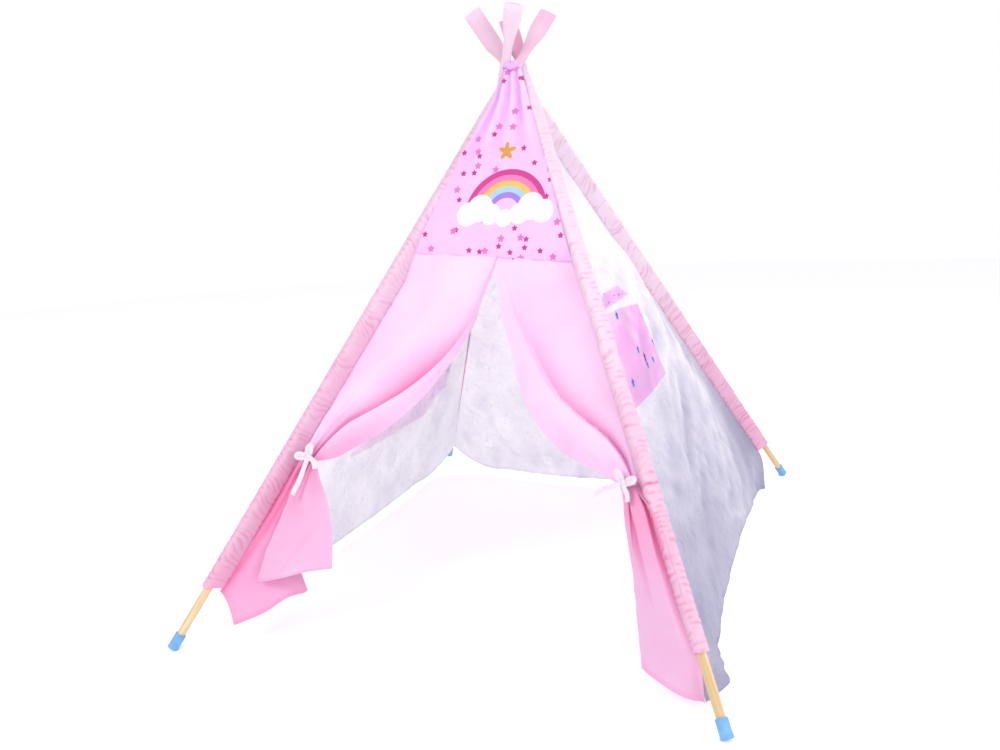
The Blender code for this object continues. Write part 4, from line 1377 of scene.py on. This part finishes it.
# Painted shade: the valley is painted darker towards the lip, the lip a little darker towards the free edge and
# downwards, with a painted shadow line beside the sleeve and painted shade in the gather at the tie
def right_curtain_shade(u, v):
    middle = table_at(RIGHT_VALLEY_SHARES, v)
    grown = ease((v - 0.05) / 0.8)
    tied = 0.4 * ease((v - 0.9) / 0.1)
    if u > middle:
        return 0.06 + 0.16 * ease((u - middle) / (1 - middle)) * grown + tied
    return 0.07 + 0.8 * (u / middle) ** 4 * grown + 0.9 * bump(u, 0, 0.008) + tied


curtains = {}
for side, place, shade in (
    ("left", left_curtain_point, left_curtain_shade),
    ("right", right_curtain_point, right_curtain_shade),
):
    sheet = cloth(side + "_curtain_cloth", 96, 120, place, (0.3, 0.5), curtain_cloth, shade)
    stand_in(sheet, side + "_curtain", "curtain_cloth", poles[DOOR_SIDES[side][0]].body)
    curtains[side] = sheet
print("curtains gathered at", TIE_HEIGHTS)

# %% [markdown]
# ## Skirts
#
# Below the ties the same cloth falls free to its hem. The right skirt is one smooth panel, sewn to
# the sleeve and fanned out from the tie in two soft valleys. The left one doubles back on itself,
# so its front layer hangs over a lower rear layer.

# %% Skirts
RIGHT_HEM = ((0.552, -0.6955, 0.033), (0.532, -0.6934, 0.034), (0.5104, -0.6895, 0.036),
             (0.4827, -0.6766, 0.04), (0.4557, -0.6609, 0.045), (0.438, -0.648, 0.048),
             (0.4264, -0.6374, 0.05))
RIGHT_FREE_EDGE = ((0.374, -0.532, 0.355), (0.379, -0.55, 0.325), (0.387, -0.566, 0.287),
                   (0.4, -0.586, 0.228), (0.408, -0.602, 0.178), (0.414, -0.614, 0.138),
                   (0.4264, -0.6374, 0.05))
LEFT_HEM = ((-0.4685, -0.697, 0.0502), (-0.4138, -0.66, 0.0682), (-0.371, -0.625, 0.0946),
            (-0.3496, -0.592, 0.0934), (-0.3502, -0.585, 0.1027), (-0.3933, -0.6, 0.1167),
            (-0.433, -0.64, 0.1398), (-0.4167, -0.65, 0.1384), (-0.3695, -0.648, 0.1498),
            (-0.3088, -0.636, 0.1661), (-0.2563, -0.614, 0.171))
LEFT_FREE_EDGE = ((-0.34, -0.512, 0.385), (-0.318, -0.535, 0.35), (-0.282, -0.566, 0.3),
                  (-0.262, -0.592, 0.235), (-0.2563, -0.614, 0.171))
HEM_LINES = {"left": LEFT_HEM, "right": RIGHT_HEM}
FREE_EDGES = {"left": LEFT_FREE_EDGE, "right": RIGHT_FREE_EDGE}
SKIRT_SEWN = 0.8
SKIRT_SEAMS = {"left": (0.006, 0.026), "right": (-0.009, -0.0145)}


def skirt_near(side, v):
    """The edge that is sewn to the sleeve, and then hangs free below the sleeve's end."""
    pole = poles[DOOR_SIDES[side][0]]
    hem = Vector(HEM_LINES[side][0])
    top = TIE_HEIGHTS[side]
    height = top + (SLEEVE_BOTTOM_HEIGHT + 0.004 - top) * min(v / SKIRT_SEWN, 1)
    sewn = pole.point(*SKIRT_SEAMS[side], pole.at_height(height))
    sewn = sleeve_edge(side, height).lerp(sewn, ease(v / 0.2))
    if v <= SKIRT_SEWN:
        return sewn
    loose = (v - SKIRT_SEWN) / (1 - SKIRT_SEWN)
    bulge = 0.008 * math.sin(math.pi * loose**0.6) if side == "left" else 0
    return sewn.lerp(hem, loose) + Vector((bulge, 0, 0))


def skirt_folds(side, u, v):
    """How far the folds stand out, and how deep their shade is."""
    start = ease(v / 0.1)
    if side == "right":
        first = 0.24 - 0.19 * v
        second = 0.74 - 0.25 * v
        near_fold = bump(u, first, 0.075) * start * (1 - 0.85 * ease((v - 0.5) / 0.4))
        far_fold = bump(u, second, 0.06) * start * (1 - ease((v - 0.25) / 0.4))
        out = -0.020 * near_fold - 0.010 * far_fold + 0.007 * bump(u, 0.5, 0.12) * start * (1 - v)
        return out, near_fold + 0.5 * far_fold
    fan = 0.5 + 0.5 * math.cos(2 * math.pi * 5.5 * u)
    fan *= start * (1 - ease((v - 0.3) / 0.3)) * (0.35 + 0.65 * bump(u, 0.12, 0.2))
    beside = bump(u, 0.0, 0.035) * start * (1 - 0.8 * ease((v - 0.5) / 0.35))
    slanted = bump(u, 0.135 - 0.13 * v / 0.8, 0.02) * start * ease((0.9 - v) / 0.25)
    crossed = bump(u - 0.9 + 0.35 * (v - 0.6), 0, 0.02) * ease((v - 0.6) / 0.1) * (u > 0.62)
    out = -0.006 * fan - 0.003 * beside - 0.005 * slanted - 0.0012 * crossed
    return out, 0.5 * fan + 0.6 * beside + 0.55 * slanted + 0.15 * crossed


def skirt_point(side, u, v):
    def low(s):
        return waist_point(side, s)

    def high(s):
        return smooth_path(HEM_LINES[side], s)

    def near(w):
        return skirt_near(side, w)

    def far(w):
        return low(1).lerp(smooth_path(FREE_EDGES[side], w), ease(w / 0.1))

    spot = patch_of_four(u, v**0.85, low, high, near, far, 1.8, 1.3)
    flow = (high(min(u + 0.02, 1)) - high(max(u - 0.02, 0))).cross(Vector((0, 0, 1)))
    flow = flow.normalized() if flow.length > 1e-6 else FRONT_OUT
    if flow.dot(FRONT_OUT) < 0:
        flow = -flow
    out, _ = skirt_folds(side, u, v)
    small = 0.0009 * crease(u * 4 + v, v * 6, 101.0) * ease(v / 0.1)
    return spot + flow * (out + small)


# Painted shade: darker near the gathered top, in the fold valleys and in the hem band; on the left skirt the rear layer
# is painted darker as the front layer's shadow
def skirt_shade(side, u, v):
    _, valley = skirt_folds(side, u, v)
    top = 1 - ease(v / 0.5)
    hem = 0.13 * (v > 0.972)
    behind = 0
    if side == "left":
        behind = (0.2 * ease(v / 0.4) - 0.05 * ease((u - 0.1) / 0.16)) * ease((0.6 - u) / 0.04)
    return 0.1 + 0.36 * top + 0.62 * valley * (1 - 0.4 * v) + hem + behind


def make_skirt(side):
    def place(u, v):
        return skirt_point(side, u, v)

    def shade(u, v):
        return skirt_shade(side, u, v)

    sheet = cloth(side + "_skirt_cloth", 150, 120, place, (0.55, 0.42), skirt_cloth, shade)
    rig.replaces(sheet, side + "_skirt")
    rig.slot(sheet, "curtain_cloth")
    return sheet


skirts = {side: make_skirt(side) for side in ("left", "right")}
print("skirts made, the sewn part being", SKIRT_SEWN, "of their height")

# %% [markdown]
# ## Ribbon ties
#
# White satin ribbon, 10.5 mm wide, goes round each gathered curtain and ends in a bow. Every stretch
# is a narrow grid that follows a smooth path, with its width turned to face out, and the knot is a
# small sphere pressed flat and creased. The stretches are joined to one mesh for each tie.

# %% Ribbon ties
RIBBON_WIDTH = 0.0105
RIBBON_THICKNESS = 0.0007
tie_ribbon = cloth_finish("tie_ribbon", (248, 234, 246), (236, 200, 226), 0.15, 0.4, 0.45)
LOOP_WIDTH = 0.0092
KNOT_HALVES = (0.0062, 0.0056, 0.0046)
LOOP_COURSE = ((0.35, 0.8, 0.9), (0.8, 1.0, 1.2), (1.0, 0.0, 1.0), (0.8, -1.0, 0.6),
               (0.35, -0.8, 0.3))


def ribbon(name, path, facing, width=RIBBON_WIDTH, rows=40):
    """A strip along a smooth path. Its width lies square to the path and to the way it faces."""

    def place(u, v):
        spot = smooth_path(path, v)
        ahead = smooth_path(path, min(v + 0.02, 1)) - smooth_path(path, max(v - 0.02, 0))
        face = facing(v) if callable(facing) else facing
        across = ahead.cross(face).normalized()
        cup = face * (0.0006 * math.cos(math.pi * (u - 0.5)))
        return spot + across * (width * (u - 0.5)) + cup

    return cloth(name, 4, rows, place, (width, 0.1), tie_ribbon, thick=RIBBON_THICKNESS)


BOWS = {
    "left": {
        "loops": (((-0.001, 0.026), 0.0048), ((-0.028, -0.002), 0.0045)),
        "tails": (((0.0, 0.0), (-0.004, -0.03), (-0.009, -0.058), (-0.018, -0.09)),
                  ((0.0, 0.0), (0.012, -0.008), (0.018, -0.018), (0.02, -0.026))),
    },
    "right": {
        "loops": (((-0.019, 0.024), 0.0046), ((0.026, 0.006), 0.0048)),
        "tails": (((0.0, 0.0), (-0.018, -0.006), (-0.044, -0.012), (-0.064, -0.026)),
                  ((0.0, 0.0), (0.006, -0.012), (0.012, -0.024), (0.014, -0.038))),
    },
}


def bow_frame(side):
    """The knot's place in front of the waist, and the directions right, up and out."""
    corner, sign = DOOR_SIDES[side]
    pole = poles[corner]
    along = pole.at_height(TIE_HEIGHTS[side])
    centre = pole.point(*WAIST_SPOTS[side], along)
    out = (FRONT_OUT + Vector((sign * 0.35, 0, 0))).normalized()
    right = Vector((1, 0, 0))
    right = (right - out * right.dot(out)).normalized()
    up = out.cross(right)
    up = up if up.z > 0 else -up
    return centre + out * 0.018, right, up, out


def make_tie(side):
    pole = poles[DOOR_SIDES[side][0]]
    along = pole.at_height(TIE_HEIGHTS[side])
    knot, right, up, out = bow_frame(side)
    waist = Vector(WAIST_SPOTS[side])
    way = waist.normalized()
    band = []
    for n in range(17):
        turn = 2 * math.pi * n / 16
        a = (WAIST_HALF_LENGTH + 0.003) * math.cos(turn)
        b = (WAIST_HALF_THICKNESS + 0.003) * math.sin(turn)
        spot = (waist.x + way.x * a - way.y * b, waist.y + way.y * a + way.x * b)
        band.append(pole.point(*spot, along))
    centre = pole.point(*waist, along)

    def facing(v):
        return (smooth_path(band, v) - centre).normalized()

    pieces = [ribbon(side + "_band", band, facing, rows=64)]
    for n, ((x, y), half) in enumerate(BOWS[side]["loops"]):
        tip = right * x + up * y
        wide = tip.cross(out).normalized() * half
        path = [knot]
        for share, spread, rise in LOOP_COURSE:
            path.append(knot + tip * share + wide * spread + out * (0.004 * rise))
        path.append(knot)
        tilted = (out + tip.normalized() * 0.3).normalized()
        pieces.append(ribbon(f"{side}_loop_{n}", path, tilted, LOOP_WIDTH))
    for n, line in enumerate(BOWS[side]["tails"]):
        path = []
        for k, (x, y) in enumerate(line):
            path.append(knot + right * x + up * y + out * (0.003 + 0.002 * (k == 1)))
        pieces.append(ribbon(f"{side}_tail_{n}", path, out))
    ball = bmesh.new()
    bmesh.ops.create_uvsphere(ball, u_segments=24, v_segments=16, radius=1)
    for vert in ball.verts:
        spot = vert.co.copy()
        swell = 1 + 0.1 * crease(spot.x * 1.5, spot.y * 2.5, 111.0)
        spot = Vector([part * half for part, half in zip(spot, KNOT_HALVES)]) * swell
        vert.co = knot + right * spot.x + up * spot.y + out * (spot.z + 0.003)
    pieces.append(new_object(side + "_knot", ball, tie_ribbon))
    tie = join_pieces(side + "_tie_ribbon", pieces, tie_ribbon)
    stand_in(tie, side + "_tie", "tie_tape", pole.body)
    return tie


ties = {side: make_tie(side) for side in ("left", "right")}
print("ties of", round(RIBBON_WIDTH * 1000, 1), "mm ribbon:", ", ".join(ties))

# %% [markdown]
# ## Printed patches on the side walls
#
# The patches are pieces of the print cloth laid on the outside of the side walls. They follow the
# wall's own creases, a millimetre further out.

# %% Patches
PATCHES = (
    ("right_patch", "right", (0.03, 0.472), (0.082, 0.487), (0.392, 0.534), "front_right"),
    ("right_patch_flap", "right", (0.08, 0.41), (0.09, 0.29), (0.553, 0.576), "front_right"),
    ("left_patch_back", "left", (0.145, 0.5), (0.12, 0.5), (0.226, 0.4), "back_left"),
    ("left_patch_front", "left", (0.5, 0.67), (0.5, 0.68), (0.226, 0.4), "front_left"),
)
CORNER_CUTS = {"left_patch_back": 0.065}
TOP_SLANTS = {"right_patch": (0.012, -0.005)}
PATCH_OFF = 0.0021


def make_patch(name, wall, low, high, heights, corner):
    cut_off, slant = CORNER_CUTS.get(name, 0), TOP_SLANTS.get(name, (0, 0))

    def place(u, v):
        start = low[0] + (high[0] - low[0]) * v
        end = low[1] + (high[1] - low[1]) * v
        lowest = heights[0] + cut_off * ease(1 - u / 0.35)
        highest = heights[1] + slant[0] + (slant[1] - slant[0]) * u
        height = crossing_height * (lowest + (highest - lowest) * v)
        return wall_point(wall, start + (end - start) * u, height, PATCH_OFF)

    # Painted shade: a pattern of creases painted into the patch's colour
    def shade(u, v):
        return 0.25 + 0.2 * crease(u * 3, v * 3, 121.0)

    sheet = cloth(name + "_cloth", 60, 30, place, (0.35, 0.17), patch_cloth, shade)
    stand_in(sheet, name, "patch_cloth", poles[corner].body)
    return sheet


patches = {patch[0]: make_patch(*patch) for patch in PATCHES}
print("patches:", ", ".join(patches))

# %% [markdown] ## How the cloth moves  When the teepee folds, each half of a wall swings in with
# its own pole and has to become narrower, as its middle crease stays between the two poles. For a
# flat half panel between two poles that swing alike, that direction and its share follow from the
# angle between the poles, before and after. Each skirt swings on its own joint, and only its
# gathered top stays with the pole, so it is blended between the two bodies.

# %% Folding
def fold_squash(corner, wall):
    """The direction in which a half panel is drawn together, and what is left of its width."""
    pole = poles[corner]
    first, second, _ = WALLS[wall]
    other = poles[second if corner == first else first]
    closing = math.radians(joints[pole.fold]["range_deg"][1])

    def out_of(p):
        return Vector((-p.along.x, -p.along.y, 0)).normalized()

    between = math.acos(out_of(pole).dot(out_of(other)))
    lean = math.acos(pole.along.z)

    def half_angle(slope):
        whole = math.sin(slope) ** 2 * math.cos(between) + math.cos(slope) ** 2
        return math.acos(whole) / 2

    def panel_normal(slope):
        """The panel's outward normal, in the pole's own level frame."""
        out, down = math.sin(slope), -math.cos(slope)
        a = Vector((out, 0, down))
        b = Vector((out * math.cos(between), out * math.sin(between), down))
        return a.cross(b).normalized()

    before = panel_normal(lean)
    after = panel_normal(lean - closing)
    turned_back = Matrix.Rotation(-closing, 3, Vector((0, 1, 0)))
    candidates = [turned_back @ after, turned_back.inverted() @ after]
    after = max(candidates, key=before.dot)
    tilt = math.acos(min(1, before.dot(after)))
    wide, narrow = math.tan(half_angle(lean)), math.tan(half_angle(lean - closing))
    step = (wide - narrow * math.cos(tilt), -narrow * math.sin(tilt))
    keep = 1 - (step[0] ** 2 + step[1] ** 2) / (wide * step[0])
    inside = other.point(0, 0, -1) - pole.point(0, 0, -1)
    across = (inside - pole.along * inside.dot(pole.along)).normalized()
    out = across.cross(pole.along).normalized()
    if out.dot(WALL_OUTS[wall]) < 0:
        out = -out
    axis = across * step[0] + out * step[1]
    return axis.normalized(), max(keep, 0.05)


def draw_together(obj, corner, wall):
    axis, keep = fold_squash(corner, wall)
    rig.squash(obj, poles[corner].fold, axis, poles[corner].origin, keep)
    return keep


BLEND_LENGTH = 0.09
for name, wall, half in HALF_WALLS:
    draw_together(walls[name], WALLS[wall][half], wall)
for name, half in HALF_PRINTS:
    draw_together(prints[name], WALLS["front"][half], "front")
for side in curtains:
    kept = draw_together(curtains[side], DOOR_SIDES[side][0], "front")
    print(side, "curtain keeps", round(kept, 3))
for name, wall, _, _, _, corner in PATCHES:
    draw_together(patches[name], corner, wall)
for side in skirts:
    pole = poles[DOOR_SIDES[side][0]]
    start = bow_frame(side)[0]
    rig.blend(skirts[side], pole.body, side + "_skirt", start, start - pole.along * BLEND_LENGTH)

# %% [markdown] ## What the cloth was cut to  A sheet keeps the area that it was cut to, however it
# hangs.

# %% Cut sizes
for name, area in cloth_areas.items():
    print(name, round(area, 4), "square metres of cloth")
WALL_TOP_WIDTH = 0.05
WALL_CUTS = {"right": (0.74, 1.28), "back": (0.59, 1.34), "left": (0.74, 1.28)}
for name, wall, _ in HALF_WALLS:
    width, length = WALL_CUTS[wall]
    area = (width + WALL_TOP_WIDTH) / 2 * length
    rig.sheet(walls[name], (width, length), "stretched", [], area=area)
for name, sheet in prints.items():
    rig.sheet(sheet, (0.19, 0.49), "stretched", [], area=0.06)
for side, sheet in curtains.items():
    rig.sheet(sheet, (0.36, 0.52), "gathered", [side + "_tie_ribbon"], area=0.13)
SKIRT_AREAS = {"left": 0.1, "right": 0.056}
for side, sheet in skirts.items():
    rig.sheet(sheet, (0.25, 0.4), "gathered", [side + "_tie_ribbon"], area=SKIRT_AREAS[side])
for name, size in (
    ("right_patch", (0.34, 0.2)),
    ("right_patch_flap", (0.2, 0.032)),
    ("left_patch_back", (0.36, 0.24)),
    ("left_patch_front", (0.2, 0.27)),
):
    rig.sheet(patches[name], size, "stretched", [])

# %% [markdown]
# ## Floor, light and background
#
# The floor is a wide pale disc that takes the shadow. Large soft lamps and an even world light the
# cloth from all round, as a light tent does, so that its colours come out as they are written. The
# background is white only for rays that the camera, glossy or clear surfaces send.

# %% Stage
FLOOR_GLOW = 0.28
stage_maker = bmesh.new()
bmesh.ops.create_circle(stage_maker, cap_ends=True, segments=96, radius=9)
floor_finish = Finish("floor_pale", 0.9, 0.0, 0.1)
floor_mottle = floor_finish.object_noise(0.7)
floor_finish.paint(floor_finish.mix(floor_mottle, screen(250, 250, 251), screen(252, 252, 252)))
glow = floor_finish.node("Emission")
strength = floor_finish.math("MULTIPLY", floor_finish.seen_rays(), FLOOR_GLOW)
floor_finish.link(strength, glow.inputs["Strength"])
added = floor_finish.node("AddShader")
floor_finish.link(floor_finish.shader.outputs[0], added.inputs[0])
floor_finish.link(glow.outputs[0], added.inputs[1])
floor_finish.link(added.outputs[0], floor_finish.output)
floor = new_object("floor", stage_maker, floor_finish.material)
floor.data.transform(Matrix.Translation((0, 0, -0.0005)))
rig.stage(floor)


def soft_lamp(name, place, target, size, watts):
    data = bpy.data.lights.new(name, "AREA")
    data.shape = "DISK"
    data.size = size
    data.energy = watts
    lamp = bpy.data.objects.new(name, data)
    bpy.context.scene.collection.objects.link(lamp)
    way = Vector(target) - Vector(place)
    turned = way.to_track_quat("-Z", "Y").to_matrix().to_4x4()
    lamp.matrix_world = Matrix.Translation(place) @ turned


soft_lamp("key", (-1.6, -3.2, 3.2), (0, -0.2, 0.6), 1.8, 60)
soft_lamp("fill", (3.2, -1.6, 1.8), (0, 0, 0.6), 2.4, 42)
soft_lamp("back", (1.4, 3.2, 2.8), (0, 0, 0.7), 2.2, 60)

world = bpy.data.worlds.new("soft_room")
world.use_nodes = True
bpy.context.scene.world = world
world.node_tree.nodes.clear()
room = Tree(world.node_tree)
backgrounds = []
for colour, strength in (((0.98, 0.98, 1.0, 1), 0.72), ((1, 1, 1, 1), 1)):
    background = room.node("Background")
    background.inputs["Color"].default_value = colour
    background.inputs["Strength"].default_value = strength
    backgrounds.append(background.outputs[0])
chosen = room.choose(room.seen_rays(), *backgrounds)
room.link(chosen, room.node("OutputWorld").inputs["Surface"])
bpy.context.scene.view_settings.view_transform = "Standard"
print("stage and lights are in place")

# %% [markdown]
# ## Size and finish
#
# The new cloth has to stay close to the CAD model's box, so both are written down side by side.

# %% Size
new_low, new_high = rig.bounds()
with open("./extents.json", "w") as size_file:
    json.dump(
        {
            "cad": [list(cad_low), list(cad_high)],
            "visual": [list(new_low), list(new_high)],
        },
        size_file,
    )
print("visual box:", [round(x, 4) for x in (*new_low, *new_high)])
